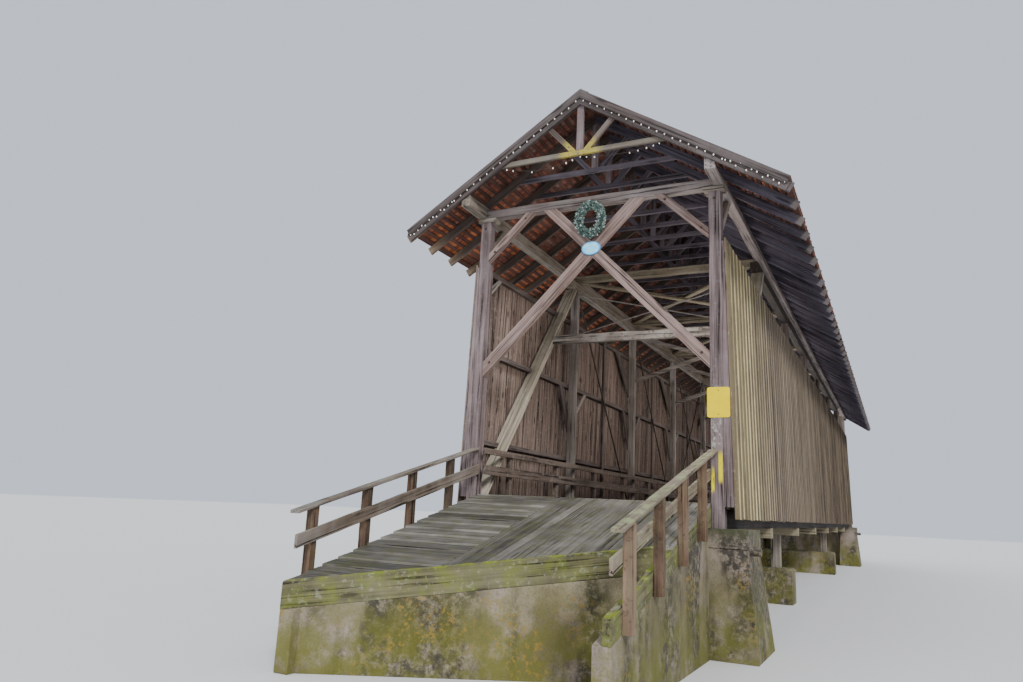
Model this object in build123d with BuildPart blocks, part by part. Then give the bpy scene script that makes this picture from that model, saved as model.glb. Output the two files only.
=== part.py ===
"""Covered timber bridge on concrete piers, with a plank ramp at each end.

Millimetres. X runs across the bridge, Y along it from the near portal to the far one, Z up from the
lowest ground the piers stand on. The near half is drawn and mirrored about the middle of the span.
"""
import math
import os

from build123d import *

# Levels above the lowest ground
DECK_Z = 2150.0            # walking surface of the bridge deck
BEAM_SEAT_DROP = 360.0     # top of the piers below the deck surface
DECK_PLANK = 80.0          # thickness of the bridge deck planks
POST_HEAD = 4900.0         # head of the portal posts above the deck
BOLSTER_T = 80.0           # bolster block on each portal post
CROSSBEAM_H = 150.0        # portal crossbeams and top struts
PLATE_H = 210.0            # roof-bearing wall plates
GABLE_RISE = 6760.0        # roof covering at the ridge above the deck

# Plan of the covered part
BAY = 4360.0               # one truss panel
BAYS = 7                   # panels from portal to portal
ROOF_OVERHANG = 700.0      # roof beyond each portal
CLEAR_HALF = 1980.0        # centreline to the portal post's inner face
POST_W = 190.0             # portal posts across the bridge
POST_D = 200.0             # portal posts along the bridge
TRUSS_PROUD = 20.0         # trusses' inner face inside the portal posts' inner face
TRUSS_W = 160.0            # trusses across the bridge
CHORD_W = 210.0            # bottom chords across the bridge
TOP_CHORD_H = 200.0
TRUSS_POST_D = 150.0       # upright truss posts along the bridge
END_POST_D = 115.0         # raking end posts, square to their length
END_POST_GAP = 10.0        # raking end posts from the siding at its head
CHORD_RUN_ON = 285.0       # top chord past the first upright post

# Deck frame
FLOOR_BEAM_H = 190.0
FLOOR_BEAM_W = 280.0
FLOOR_BEAM_END = 40.0      # floor beams past the portal posts' outer face
JOIST_W = 100.0
JOISTS_EACH_SIDE = 2
JOIST_OFF = 320.0          # outermost joist's centre in from the truss

# Walls
SIDING_T = 30.0
SIDE_STUD_GAP = 50.0       # portal side studs short of the deck and of the siding head
SIDE_STUD_SETBACK = 10.0
SIDING_TOP = 4100.0        # siding head above the deck
SIDING_FOOT = -235.0       # siding foot, just below the deck
SIDING_OFF = 70.0          # siding's outer face past the portal posts at its head
SIDING_LEAN = 0.024        # outward lean of the siding towards its foot
GIRT_H = 90.0
GIRT_LEVELS = (870.0, 2500.0, 4000.0)
STUD_W = 140.0
STUD_T = 50.0
GIRT_KNEE_T = 40.0
GIRT_KNEE_GAP = 20.0        # each knee's foot from the post's centre line
STEEP_KNEE_W = 190.0        # under the middle girt, on the post's side towards the portal
STEEP_KNEE_RISE = 800.0
STEEP_KNEE_REACH = 430.0
FLAT_KNEE_W = 110.0         # under the middle girt, on the other side
FLAT_KNEE_RISE = 880.0
FLAT_KNEE_REACH = 960.0
HIGH_KNEE_W = 230.0         # under the top girt
HIGH_KNEE_RISE = 900.0
HIGH_KNEE_REACH = 1000.0
END_KNEE_W = 100.0
END_KNEE_RISE = 500.0
END_KNEE_REACH = 570.0

# Wall plates and portal bracing
PLATE_SETBACK = 80.0       # plates' inner face past the portal posts' inner face
PLATE_W = 170.0
BOLSTER_REACH = 100.0      # bolsters' inner end inside the portal posts
BOLSTER_RUN_ON = 20.0      # bolster past the post, front and back
BRACE_W = 190.0            # the two long crossing braces
BRACE_T = 100.0
BRACE_FOOT = 2150.0        # brace foot on the post above the deck
BRACE_HEAD_X = 800.0       # brace head under the crossbeam from the centreline
KNEE_W = 125.0
KNEE_T = 100.0
KNEE_FOOT_DROP = 770.0     # corner knee foot below the crossbeam
KNEE_REACH = 800.0         # corner knee head in from the post
PLATE_KNEE_W = 130.0
PLATE_KNEE_T = 100.0
PLATE_KNEE_DROP = 610.0
PLATE_KNEE_REACH = 570.0

# Sway and lateral bracing
SWAY_H = 180.0
SWAY_D = 150.0
SWAY_LEVEL = 3240.0        # underside of the lower sway beam above the deck
STRUT_D = 180.0
SWAY_ROD_LOW = 3740.0      # the first posts' crossing rods above the deck, at their low ends
SWAY_ROD_HIGH = 4700.0
SWAY_BRACE_W = 105.0       # the other posts' crossing timbers
SWAY_BRACE_T = 50.0
SWAY_BRACE_LOW = 3410.0
SWAY_BRACE_HIGH = 4670.0
LATERAL_W = 140.0
LATERAL_T = 60.0
ROD_R = 14.0
ROD_SIDES = 10
TRUSS_ROD_R = 20.0
ROD_CLEAR = 35.0           # half the gap between crossing sway rods' axes
TRUSS_ROD_GAP = 50.0       # between the axes of the middle panel's crossing rods
ROD_SEAT = 60.0            # rod end let into the timber

# Roof frame
EAVE_OVERHANG = 1150.0     # roof past the portal posts' outer face
EAVE_RISE = 4650.0         # roof covering at the eave above the deck
ROOF_T = 55.0              # skip boards with shingles, square to the slope
RAFTER_D = 150.0
RAFTER_W = 50.0
RAFTER_STEPS = 44          # equal gaps between rafter pairs
RAFTER_TAIL = 40.0         # rafter end past the roof edge, along the slope
COLLAR_FOOT = 5590.0       # underside of the collar ties above the deck
COLLAR_H = 90.0
KING_W = 120.0
FAN_W = 90.0
FAN_FOOT_X = 125.0
FAN_HEAD_X = 560.0
GABLE_BOARD_T = 40.0
GABLE_BOARD_H = 167.0
VERGE_STRIP_T = 30.0
VERGE_STRIP_H = 128.0
RIDGE_CAP_W = 170.0
RIDGE_CAP_T = 22.0

# Piers and river bents
PIER_INSIDE = 180.0        # pier cap inside the portal post's inner face
PIER_OUTSIDE = 330.0       # pier cap past the portal post's outer face
PIER_BATTER_IN = 60.0      # spread of the foot beyond the cap, towards the abutment
PIER_BATTER_OUT = 140.0    # spread of the foot beyond the cap, towards the outside
PIER_FRONT_TOP = -60.0     # pier faces measured inwards from the portal face
PIER_BACK_TOP = 980.0
PIER_FRONT_FOOT = -140.0
PIER_BACK_FOOT = 1350.0
PIER_CAP_H = 270.0
PIER_CAP_LIP = 18.0
PIPE_R = 65.0
PIPE_REACH = 170.0
PIPE_IN = 130.0            # pipe centre in from the pier's front face
PIPE_DROP = 30.0           # pipe centre below the pier cap's joint
ABUTMENT_IN = 500.0
BENT_PANEL = 2
BENT_OFF = 280.0           # bent post's centre in from the truss
BENT_POST = 220.0
BENT_FOOTING_H = 830.0
BENT_FOOTING_D = 640.0
BENT_FOOTING_END = 400.0   # footing past the bent post's centre
BENT_FOOTING_CHAMFER = 40.0

# Ramps
RAMP_SLOPE = 0.26
RAMP_LONG = 4400.0         # length in plan along the side with the longer rail
RAMP_SKEW_RUN = 2300.0     # shorter by this along the other side, where the path turns in
RAIL_END_GAP = 60.0        # ramp handrails end short of the longer side
RAMP_PLANK = 60.0
RAMP_STRINGER_H = 240.0
RAMP_STRINGER_W = 100.0
RAMP_WALL_T = 200.0
KERB_T = 60.0
RAIL_POST = 110.0
RAIL_POST_FIRST = 800.0
RAIL_POST_PITCH = 1065.0
RAIL_POSTS = 4
RAIL_TOP = 780.0
RAIL_CAP_W = 140.0
RAIL_CAP_T = 40.0
RAIL_BOARD_T = 40.0
RAIL_BOARD_LOW = 330.0
RAIL_BOARD_H = 160.0

# Rails inside the bridge
INNER_POST = 90.0
INNER_BOARD_H = 100.0
INNER_POSTS_PER_BAY = 2

# Signs and wreath
SIGN_W = 340.0
SIGN_H = 460.0
SIGN_T = 4.0
SIGN_LOW = 1260.0
SIGN_IN = 1935.0
SIGN_CORNER = 35.0
PLAQUE_W = 340.0
PLAQUE_H = 240.0
PLAQUE_T = 20.0
WREATH_HALF_W = 290.0
WREATH_HALF_H = 345.0
WREATH_RING = 165.0        # width of the ring of leaves
WREATH_T = 170.0
WREATH_BEVEL = 60.0
WREATH_SIDES = 18
WREATH_DROP = 465.0        # wreath centre below the crossbeam's top

# Sizes that follow
SPAN = BAY * BAYS
PORTAL_Y = -SPAN / 2
ROOF_END = SPAN / 2 + ROOF_OVERHANG
SEAT_Z = DECK_Z - BEAM_SEAT_DROP
CHORD_TOP = DECK_Z - DECK_PLANK
POST_OUT = CLEAR_HALF + POST_W
TRUSS_IN = CLEAR_HALF - TRUSS_PROUD
TRUSS_OUT = TRUSS_IN + TRUSS_W
FLOOR_BEAM_REACH = POST_OUT + FLOOR_BEAM_END
JOIST_PITCH = (TRUSS_IN - JOIST_OFF) / JOISTS_EACH_SIDE
SIDING_TOP_X = POST_OUT + SIDING_OFF
END_POST_OUT = SIDING_TOP_X - SIDING_T - END_POST_GAP
PLATE_IN = CLEAR_HALF + PLATE_SETBACK
BOLSTER_IN = CLEAR_HALF - BOLSTER_REACH
ROOF_HALF = POST_OUT + EAVE_OVERHANG
PIER_IN_TOP = CLEAR_HALF - PIER_INSIDE
PIER_OUT_TOP = POST_OUT + PIER_OUTSIDE
PIER_IN_FOOT = PIER_IN_TOP - PIER_BATTER_IN
PIER_OUT_FOOT = PIER_OUT_TOP + PIER_BATTER_OUT
BENT_X = TRUSS_IN - BENT_OFF
BENT_FOOTING_HALF = BENT_X + BENT_FOOTING_END
RAIL_RUN = RAMP_LONG - RAIL_END_GAP
PLATE_Z = DECK_Z + POST_HEAD + BOLSTER_T
TOP_CHORD_Z = PLATE_Z - TOP_CHORD_H
PLATE_OUT = PLATE_IN + PLATE_W
RIDGE_Z = DECK_Z + GABLE_RISE
EAVE_Z = DECK_Z + EAVE_RISE
PITCH = (RIDGE_Z - EAVE_Z) / ROOF_HALF
ROOF_COS = 1 / math.hypot(1, PITCH)
ROOF_DROP = ROOF_T / ROOF_COS
RAFTER_DROP = RAFTER_D / ROOF_COS
FIRST_RAFTER = -ROOF_END + GABLE_BOARD_T + RAFTER_W / 2
RAFTER_GAP = -2 * FIRST_RAFTER / RAFTER_STEPS
END_POST_HALF = END_POST_D / 2 / math.sin(math.atan2(TOP_CHORD_Z - CHORD_TOP, BAY - POST_D - END_POST_D))
END_POST_FOOT_Y = PORTAL_Y + POST_D + END_POST_HALF
END_POST_HEAD_Y = PORTAL_Y + BAY - TRUSS_POST_D / 2 - END_POST_HALF
SKEW = RAMP_SKEW_RUN / (2 * CLEAR_HALF)
SKEW_COS = 1 / math.hypot(1, SKEW)
RAMP_COS = 1 / math.hypot(1, RAMP_SLOPE)
RAMP_PLANK_DROP = RAMP_PLANK / RAMP_COS
RAMP_UNDER = (RAMP_PLANK + RAMP_STRINGER_H) / RAMP_COS
UP = (0.0, 1.0)
LEVEL = (1.0, 0.0)


def roof_z(x):
    """Height of the roof covering's top at a distance from the centreline."""
    return RIDGE_Z - PITCH * abs(x)


def rafter_under_z(x):
    """Height of the rafters' underside at a distance from the centreline."""
    return roof_z(x) - ROOF_DROP - RAFTER_DROP


def siding_in_x(z):
    """Distance of the siding's inner face from the centreline at a height."""
    return SIDING_TOP_X - SIDING_T + SIDING_LEAN * (DECK_Z + SIDING_TOP - z)


def ramp_z(y, drop=0.0):
    """Height of the ramp surface, or of a plane parallel to it, on the near ramp."""
    return DECK_Z + RAMP_SLOPE * (y - PORTAL_Y) - drop


def skew_y(x, out=0.0):
    """Near ramp's skewed foot line, moved out square to itself."""
    return PORTAL_Y - RAMP_LONG + SKEW * (x + CLEAR_HALF) - out / SKEW_COS


def mitred(p0, p1, width, cut0, cut1):
    """Four corners of a straight timber whose ends are cut along two given directions."""
    length = math.hypot(p1[0] - p0[0], p1[1] - p0[1])
    dx, dy = (p1[0] - p0[0]) / length, (p1[1] - p0[1]) / length
    corners = []
    for (px, py), (cx, cy), sides in ((p0, cut0, (1, -1)), (p1, cut1, (-1, 1))):
        for side in sides:
            s = side * width / 2 / (cx * dy - cy * dx)
            corners.append((px + s * cx, py + s * cy))
    return corners


def block(x0, x1, y0, y1, z0, z1, mode=Mode.ADD):
    """Square-edged timber or wall between six planes."""
    with Locations(((x0 + x1) / 2, (y0 + y1) / 2, (z0 + z1) / 2)):
        Box(abs(x1 - x0), abs(y1 - y0), abs(z1 - z0), mode=mode)


def across(points, y0, y1, mode=Mode.ADD):
    """Outline drawn in the cross-section, given its thickness along the bridge."""
    with BuildSketch(Plane.XZ.offset(-(y0 + y1) / 2)) as outline:
        with BuildLine():
            Polyline(*points, close=True)
        make_face()
    extrude(outline.sketch, amount=abs(y1 - y0) / 2, both=True, mode=mode)


def along(points, x0, x1, mode=Mode.ADD):
    """Outline drawn in the long section, given its thickness across the bridge."""
    with BuildSketch(Plane.YZ.offset((x0 + x1) / 2)) as outline:
        with BuildLine():
            Polyline(*points, close=True)
        make_face()
    extrude(outline.sketch, amount=abs(x1 - x0) / 2, both=True, mode=mode)


def in_plan(points, z0, z1, mode=Mode.ADD):
    """Outline drawn in plan, given its height."""
    with BuildSketch(Plane.XY.offset(z0)) as outline:
        with BuildLine():
            Polyline(*points, close=True)
        make_face()
    extrude(outline.sketch, amount=z1 - z0, mode=mode)


def rod(start, end, radius, mode=Mode.ADD):
    """Round iron rod between two points."""
    axis = Vector(*end) - Vector(*start)
    with BuildSketch(Plane(origin=start, z_dir=axis)) as outline:
        RegularPolygon(radius, ROD_SIDES)
    extrude(outline.sketch, amount=axis.length, mode=mode)


def other_side():
    """Repeat everything drawn so far on the other side of the bridge."""
    mirror(about=Plane.YZ)


def far_end():
    """Repeat everything drawn so far at the far end."""
    mirror(about=Plane.XZ)


def truss_y(panel):
    """Centre of an upright truss post, counted from the near portal."""
    return PORTAL_Y + panel * BAY


# Piers, abutments and bents
with BuildPart() as piers:
    pier_cap_z = SEAT_Z - PIER_CAP_H
    with BuildSketch(Plane.XY):
        with Locations(((PIER_IN_FOOT + PIER_OUT_FOOT) / 2,
                        PORTAL_Y + (PIER_FRONT_FOOT + PIER_BACK_FOOT) / 2)):
            Rectangle(PIER_OUT_FOOT - PIER_IN_FOOT, PIER_BACK_FOOT - PIER_FRONT_FOOT)
    with BuildSketch(Plane.XY.offset(pier_cap_z)):
        with Locations(((PIER_IN_TOP + PIER_OUT_TOP) / 2, PORTAL_Y + (PIER_FRONT_TOP + PIER_BACK_TOP) / 2)):
            Rectangle(PIER_OUT_TOP - PIER_IN_TOP, PIER_BACK_TOP - PIER_FRONT_TOP)
    loft()
    block(PIER_IN_TOP, PIER_OUT_TOP + PIER_CAP_LIP, PORTAL_Y + PIER_FRONT_TOP - PIER_CAP_LIP,
          PORTAL_Y + PIER_BACK_TOP, pier_cap_z, SEAT_Z)
    with BuildSketch(Plane.YZ.offset(PIER_OUT_TOP)):
        with Locations((PORTAL_Y + PIER_FRONT_TOP + PIPE_IN, pier_cap_z - PIPE_DROP)):
            RegularPolygon(PIPE_R, ROD_SIDES)
    extrude(amount=PIPE_REACH)
    other_side()
    far_end()
piers.part.label = "piers"

with BuildPart() as abutments:
    block(-PIER_IN_TOP, PIER_IN_TOP, PORTAL_Y - RAMP_WALL_T, PORTAL_Y + ABUTMENT_IN, pier_cap_z, SEAT_Z)
    block(-PIER_IN_FOOT, PIER_IN_FOOT, PORTAL_Y - RAMP_WALL_T, PORTAL_Y + ABUTMENT_IN, 0, pier_cap_z)
    far_end()
abutments.part.label = "abutments"

with BuildPart() as bent_footings:
    block(-BENT_FOOTING_HALF, BENT_FOOTING_HALF, truss_y(BENT_PANEL) - BENT_FOOTING_D / 2,
          truss_y(BENT_PANEL) + BENT_FOOTING_D / 2, 0, BENT_FOOTING_H)
    chamfer(bent_footings.edges().group_by(Axis.Z)[-1], length=BENT_FOOTING_CHAMFER)
    far_end()
bent_footings.part.label = "bent_footings"

with BuildPart() as bent_posts:
    for x in (-BENT_X, BENT_X):
        block(x - BENT_POST / 2, x + BENT_POST / 2, truss_y(BENT_PANEL) - BENT_POST / 2,
              truss_y(BENT_PANEL) + BENT_POST / 2, BENT_FOOTING_H, SEAT_Z - FLOOR_BEAM_H)
    far_end()
bent_posts.part.label = "bent_posts"

# Deck frame
with BuildPart() as floor_beams:
    for panel in range(1, BAYS):
        y = truss_y(panel)
        block(-FLOOR_BEAM_REACH, FLOOR_BEAM_REACH, y - FLOOR_BEAM_W / 2, y + FLOOR_BEAM_W / 2,
              SEAT_Z - FLOOR_BEAM_H, SEAT_Z)
floor_beams.part.label = "floor_beams"

with BuildPart() as bottom_chords:
    block(TRUSS_IN, TRUSS_IN + CHORD_W, PORTAL_Y + POST_D, -PORTAL_Y - POST_D, SEAT_Z, CHORD_TOP)
    other_side()
bottom_chords.part.label = "bottom_chords"

with BuildPart() as deck_joists:
    for n in range(-JOISTS_EACH_SIDE, JOISTS_EACH_SIDE + 1):
        x = n * JOIST_PITCH
        block(x - JOIST_W / 2, x + JOIST_W / 2, PORTAL_Y, -PORTAL_Y, SEAT_Z, CHORD_TOP)
deck_joists.part.label = "deck_joists"

with BuildPart() as deck_planks:
    block(-TRUSS_IN, TRUSS_IN, PORTAL_Y, -PORTAL_Y, CHORD_TOP, DECK_Z)
deck_planks.part.label = "deck_planks"

# Trusses
rod_top_x = TRUSS_IN + TRUSS_W / 2


def truss_rod_ends(panel, x, rising=False):
    """Ends of one raking tie rod in a panel, let into both chords."""
    y0 = truss_y(panel) + TRUSS_POST_D
    y1 = truss_y(panel + 1) - TRUSS_POST_D
    if rising:
        y0, y1 = y1, y0
    top, foot = TOP_CHORD_Z, CHORD_TOP
    grow = ROD_SEAT / math.hypot(y1 - y0, foot - top)
    dy, dz = (y1 - y0) * grow, (foot - top) * grow
    return (x, y0 - dy, top - dz), (x, y1 + dy, foot + dz)


def truss_rod_runs():
    """Every raking tie rod of one truss, leaning down towards the middle of the span."""
    middle = BAYS // 2
    for panel in range(1, middle):
        yield truss_rod_ends(panel, rod_top_x)
        yield truss_rod_ends(BAYS - 1 - panel, rod_top_x, rising=True)
    yield truss_rod_ends(middle, rod_top_x - TRUSS_ROD_GAP)
    yield truss_rod_ends(middle, rod_top_x, rising=True)


def sway_rod_ends(lean):
    """Ends of one crossing rod, just inside the first posts' timber."""
    x, y = TRUSS_IN + ROD_SEAT, truss_y(1) + ROD_CLEAR * lean
    grow = (SWAY_ROD_HIGH - SWAY_ROD_LOW) / (2 * TRUSS_IN) * ROD_SEAT
    upper = (-lean * x, y, DECK_Z + SWAY_ROD_HIGH + grow)
    lower = (lean * x, y, DECK_Z + SWAY_ROD_LOW - grow)
    return upper, lower


end_post_run = (END_POST_HEAD_Y - END_POST_FOOT_Y) / (TOP_CHORD_Z - CHORD_TOP)
sway_y = END_POST_FOOT_Y + end_post_run * (DECK_Z + SWAY_LEVEL + SWAY_H / 2 - CHORD_TOP)

end_post_outline = mitred((END_POST_FOOT_Y, CHORD_TOP), (END_POST_HEAD_Y, TOP_CHORD_Z), END_POST_D, LEVEL, LEVEL)

with BuildPart() as end_posts:
    along(end_post_outline, TRUSS_IN, END_POST_OUT)
    other_side()
    far_end()
end_posts.part.label = "end_posts"

with BuildPart() as truss_posts:
    for panel in range(1, BAYS):
        y = truss_y(panel)
        block(TRUSS_IN, TRUSS_OUT, y - TRUSS_POST_D / 2, y + TRUSS_POST_D / 2, CHORD_TOP, TOP_CHORD_Z)
    other_side()
truss_posts.part.label = "truss_posts"

with BuildPart() as top_chords:
    block(TRUSS_IN, TRUSS_OUT, truss_y(1) - CHORD_RUN_ON - TRUSS_POST_D / 2,
          truss_y(BAYS - 1) + CHORD_RUN_ON + TRUSS_POST_D / 2, TOP_CHORD_Z, PLATE_Z)
    for start, end in truss_rod_runs():
        rod(start, end, TRUSS_ROD_R, mode=Mode.SUBTRACT)
    other_side()
top_chords.part.label = "top_chords"

with BuildPart(mode=Mode.PRIVATE) as chord_bores:
    for start, end in truss_rod_runs():
        rod(start, end, TRUSS_ROD_R)
    other_side()

with BuildPart() as bottom_chords_bored:
    add(bottom_chords.part)
    add(chord_bores.part, mode=Mode.SUBTRACT)
bottom_chords = bottom_chords_bored
bottom_chords.part.label = "bottom_chords"

with BuildPart() as truss_rods:
    for start, end in truss_rod_runs():
        rod(start, end, TRUSS_ROD_R)
    other_side()
truss_rods.part.label = "truss_rods"

# Top struts, sway beams and laterals
with BuildPart() as top_struts:
    for panel in range(1, BAYS):
        y = truss_y(panel)
        block(-PLATE_IN, PLATE_IN, y - STRUT_D / 2, y + STRUT_D / 2, PLATE_Z, PLATE_Z + CROSSBEAM_H)
top_struts.part.label = "top_struts"

with BuildPart() as sway_beams:
    block(-TRUSS_IN, TRUSS_IN, sway_y - SWAY_D / 2, sway_y + SWAY_D / 2,
          DECK_Z + SWAY_LEVEL, DECK_Z + SWAY_LEVEL + SWAY_H)
    far_end()
sway_beams.part.label = "sway_beams"

with BuildPart() as sway_rods:
    for lean in (-1, 1):
        rod(*sway_rod_ends(lean), ROD_R)
    block(-TRUSS_IN, TRUSS_IN, truss_y(1) - TRUSS_POST_D, truss_y(1) + TRUSS_POST_D, DECK_Z, PLATE_Z,
          mode=Mode.INTERSECT)
    far_end()
sway_rods.part.label = "sway_rods"

with BuildPart() as sway_braces:
    for panel in range(2, BAYS - 1):
        for lean in (-1, 1):
            across(mitred((-lean * TRUSS_IN, DECK_Z + SWAY_BRACE_LOW), (lean * TRUSS_IN, DECK_Z + SWAY_BRACE_HIGH),
                          SWAY_BRACE_W, UP, UP),
                   truss_y(panel), truss_y(panel) + lean * SWAY_BRACE_T)
sway_braces.part.label = "sway_braces"


def lateral(panel, lean, z0):
    """Flat raking brace between two top struts, corner to corner."""
    y0 = truss_y(panel) + STRUT_D / 2
    y1 = truss_y(panel + 1) - STRUT_D / 2
    x = PLATE_IN - LATERAL_W
    in_plan(mitred((-lean * x, y0), (lean * x, y1), LATERAL_W, LEVEL, LEVEL), z0, z0 + LATERAL_T)


with BuildPart() as lower_laterals:
    for panel in range(1, BAYS - 1):
        lateral(panel, 1, PLATE_Z)
lower_laterals.part.label = "lower_laterals"

with BuildPart() as upper_laterals:
    for panel in range(1, BAYS - 1):
        lateral(panel, -1, PLATE_Z + LATERAL_T)
upper_laterals.part.label = "upper_laterals"

# Side walls
with BuildPart() as left_siding:
    z0, z1 = DECK_Z + SIDING_FOOT, DECK_Z + SIDING_TOP
    across([(-siding_in_x(z0), z0), (-siding_in_x(z1), z1), (-siding_in_x(z1) - SIDING_T, z1),
            (-siding_in_x(z0) - SIDING_T, z0)], PORTAL_Y, -PORTAL_Y)
left_siding.part.label = "left_siding"

with BuildPart() as right_siding:
    across([(siding_in_x(z0), z0), (siding_in_x(z1), z1), (siding_in_x(z1) + SIDING_T, z1),
            (siding_in_x(z0) + SIDING_T, z0)], PORTAL_Y, -PORTAL_Y)
right_siding.part.label = "right_siding"

with BuildPart() as wall_girts:
    for level in GIRT_LEVELS:
        z0, z1 = DECK_Z + level, DECK_Z + level + GIRT_H
        across([(TRUSS_OUT, z0), (siding_in_x(z0), z0), (siding_in_x(z1), z1), (TRUSS_OUT, z1)],
               PORTAL_Y + POST_D, -PORTAL_Y - POST_D)
    for way in (1, -1):
        along([(way * y, z) for y, z in end_post_outline], TRUSS_OUT, siding_in_x(CHORD_TOP), mode=Mode.SUBTRACT)
    other_side()
wall_girts.part.label = "wall_girts"

with BuildPart() as wall_studs:
    for panel in range(1, BAYS - 1):
        y = truss_y(panel) + BAY / 2
        block(TRUSS_OUT - STUD_T, TRUSS_OUT, y - STUD_W / 2, y + STUD_W / 2,
              CHORD_TOP, DECK_Z + GIRT_LEVELS[-1] + GIRT_H)
    other_side()
wall_studs.part.label = "wall_studs"


def girt_knee(y_foot, reach, rise, width, level):
    """Flat knee from a post up to the underside of a girt, on the wall's side of the post."""
    head_z = DECK_Z + level
    along(mitred((y_foot, head_z - rise), (y_foot + reach, head_z), width, UP, LEVEL),
          TRUSS_OUT, TRUSS_OUT + GIRT_KNEE_T)


with BuildPart() as girt_knees:
    for panel in range(1, BAYS):
        y, way = truss_y(panel), 1 if 2 * panel < BAYS else -1
        girt_knee(y - way * GIRT_KNEE_GAP, -way * STEEP_KNEE_REACH, STEEP_KNEE_RISE, STEEP_KNEE_W, GIRT_LEVELS[1])
        girt_knee(y + way * GIRT_KNEE_GAP, way * FLAT_KNEE_REACH, FLAT_KNEE_RISE, FLAT_KNEE_W, GIRT_LEVELS[1])
        if 1 < panel < BAYS - 1:
            girt_knee(y - way * GIRT_KNEE_GAP, -way * HIGH_KNEE_REACH, HIGH_KNEE_RISE, HIGH_KNEE_W, GIRT_LEVELS[2])
    for way in (1, -1):
        girt_knee(way * (PORTAL_Y + POST_D), way * END_KNEE_REACH, END_KNEE_RISE, END_KNEE_W, GIRT_LEVELS[2])
    other_side()
girt_knees.part.label = "girt_knees"

# Wall plates and portals
with BuildPart() as wall_plates:
    block(PLATE_IN, PLATE_OUT, -ROOF_END + GABLE_BOARD_T, ROOF_END - GABLE_BOARD_T, PLATE_Z, PLATE_Z + PLATE_H)
    across([(PLATE_IN, rafter_under_z(PLATE_IN)), (PLATE_OUT + PLATE_W, rafter_under_z(PLATE_OUT + PLATE_W)),
            (PLATE_OUT + PLATE_W, PLATE_Z + 2 * PLATE_H), (PLATE_IN, PLATE_Z + 2 * PLATE_H)],
           -ROOF_END, ROOF_END, mode=Mode.SUBTRACT)
    other_side()
wall_plates.part.label = "wall_plates"

with BuildPart() as portal_posts:
    block(CLEAR_HALF, POST_OUT, PORTAL_Y, PORTAL_Y + POST_D, SEAT_Z, DECK_Z + POST_HEAD)
    other_side()
    far_end()
portal_posts.part.label = "portal_posts"

with BuildPart() as portal_side_studs:
    z0, z1 = DECK_Z - SIDE_STUD_GAP, DECK_Z + SIDING_TOP - SIDE_STUD_GAP
    across([(POST_OUT, z0), (siding_in_x(z0), z0), (siding_in_x(z1), z1), (POST_OUT, z1)],
           PORTAL_Y + SIDE_STUD_SETBACK, PORTAL_Y + POST_D)
    other_side()
    far_end()
portal_side_studs.part.label = "portal_side_studs"

with BuildPart() as portal_bolsters:
    with BuildSketch(Plane.XZ.offset(-PORTAL_Y - POST_D / 2)):
        with BuildLine():
            z0 = DECK_Z + POST_HEAD
            Polyline((BOLSTER_IN, z0 + BOLSTER_T / 2), (BOLSTER_IN + BOLSTER_T / 2, z0),
                     (PLATE_OUT, z0), (PLATE_OUT, z0 + BOLSTER_T), (BOLSTER_IN, z0 + BOLSTER_T), close=True)
        make_face()
    extrude(amount=POST_D / 2 + BOLSTER_RUN_ON, both=True)
    other_side()
    far_end()
portal_bolsters.part.label = "portal_bolsters"

with BuildPart() as portal_crossbeams:
    block(-PLATE_IN, PLATE_IN, PORTAL_Y, PORTAL_Y + POST_D, PLATE_Z, PLATE_Z + CROSSBEAM_H)
    far_end()
portal_crossbeams.part.label = "portal_crossbeams"

brace_foot = (CLEAR_HALF, DECK_Z + BRACE_FOOT)
brace_head = (BRACE_HEAD_X, PLATE_Z)
right_brace = mitred(brace_foot, (-brace_head[0], brace_head[1]), BRACE_W, UP, LEVEL)
left_brace = [(-x, z) for x, z in right_brace]

with BuildPart() as rising_braces:
    across(left_brace, PORTAL_Y, PORTAL_Y + BRACE_T)
    across(right_brace, PORTAL_Y, PORTAL_Y + BRACE_T / 2, mode=Mode.SUBTRACT)
    far_end()
rising_braces.part.label = "rising_braces"

with BuildPart() as falling_braces:
    across(right_brace, PORTAL_Y, PORTAL_Y + BRACE_T)
    across(left_brace, PORTAL_Y + BRACE_T / 2, PORTAL_Y + BRACE_T, mode=Mode.SUBTRACT)
    far_end()
falling_braces.part.label = "falling_braces"

with BuildPart() as portal_knees:
    across(mitred((CLEAR_HALF, PLATE_Z - KNEE_FOOT_DROP), (CLEAR_HALF - KNEE_REACH, PLATE_Z), KNEE_W, UP, LEVEL),
           PORTAL_Y, PORTAL_Y + KNEE_T)
    other_side()
    far_end()
portal_knees.part.label = "portal_knees"

with BuildPart() as plate_knees:
    along(mitred((PORTAL_Y + POST_D, PLATE_Z - PLATE_KNEE_DROP),
                 (PORTAL_Y + POST_D + PLATE_KNEE_REACH, PLATE_Z), PLATE_KNEE_W, UP, LEVEL),
          POST_OUT - PLATE_KNEE_T, POST_OUT)
    other_side()
    far_end()
plate_knees.part.label = "plate_knees"

# Roof frame
rafter_tail_x = ROOF_HALF + RAFTER_TAIL * ROOF_COS
rafter_top = [(0, RIDGE_Z - ROOF_DROP), (rafter_tail_x, roof_z(rafter_tail_x) - ROOF_DROP)]
tail_foot = (rafter_tail_x - RAFTER_D * PITCH * ROOF_COS, roof_z(rafter_tail_x) - ROOF_DROP - RAFTER_D * ROOF_COS)
rafter_outline = [*rafter_top, tail_foot, (0, rafter_under_z(0))]
rafter_rows = [FIRST_RAFTER + n * RAFTER_GAP for n in range(RAFTER_STEPS + 1)]


def at_rows(points, thickness):
    """Repeat a cross-section timber at every rafter pair."""
    for y in rafter_rows:
        across(points, y - thickness / 2, y + thickness / 2)


with BuildPart() as right_rafters:
    at_rows(rafter_outline, RAFTER_W)
right_rafters.part.label = "right_rafters"

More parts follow.
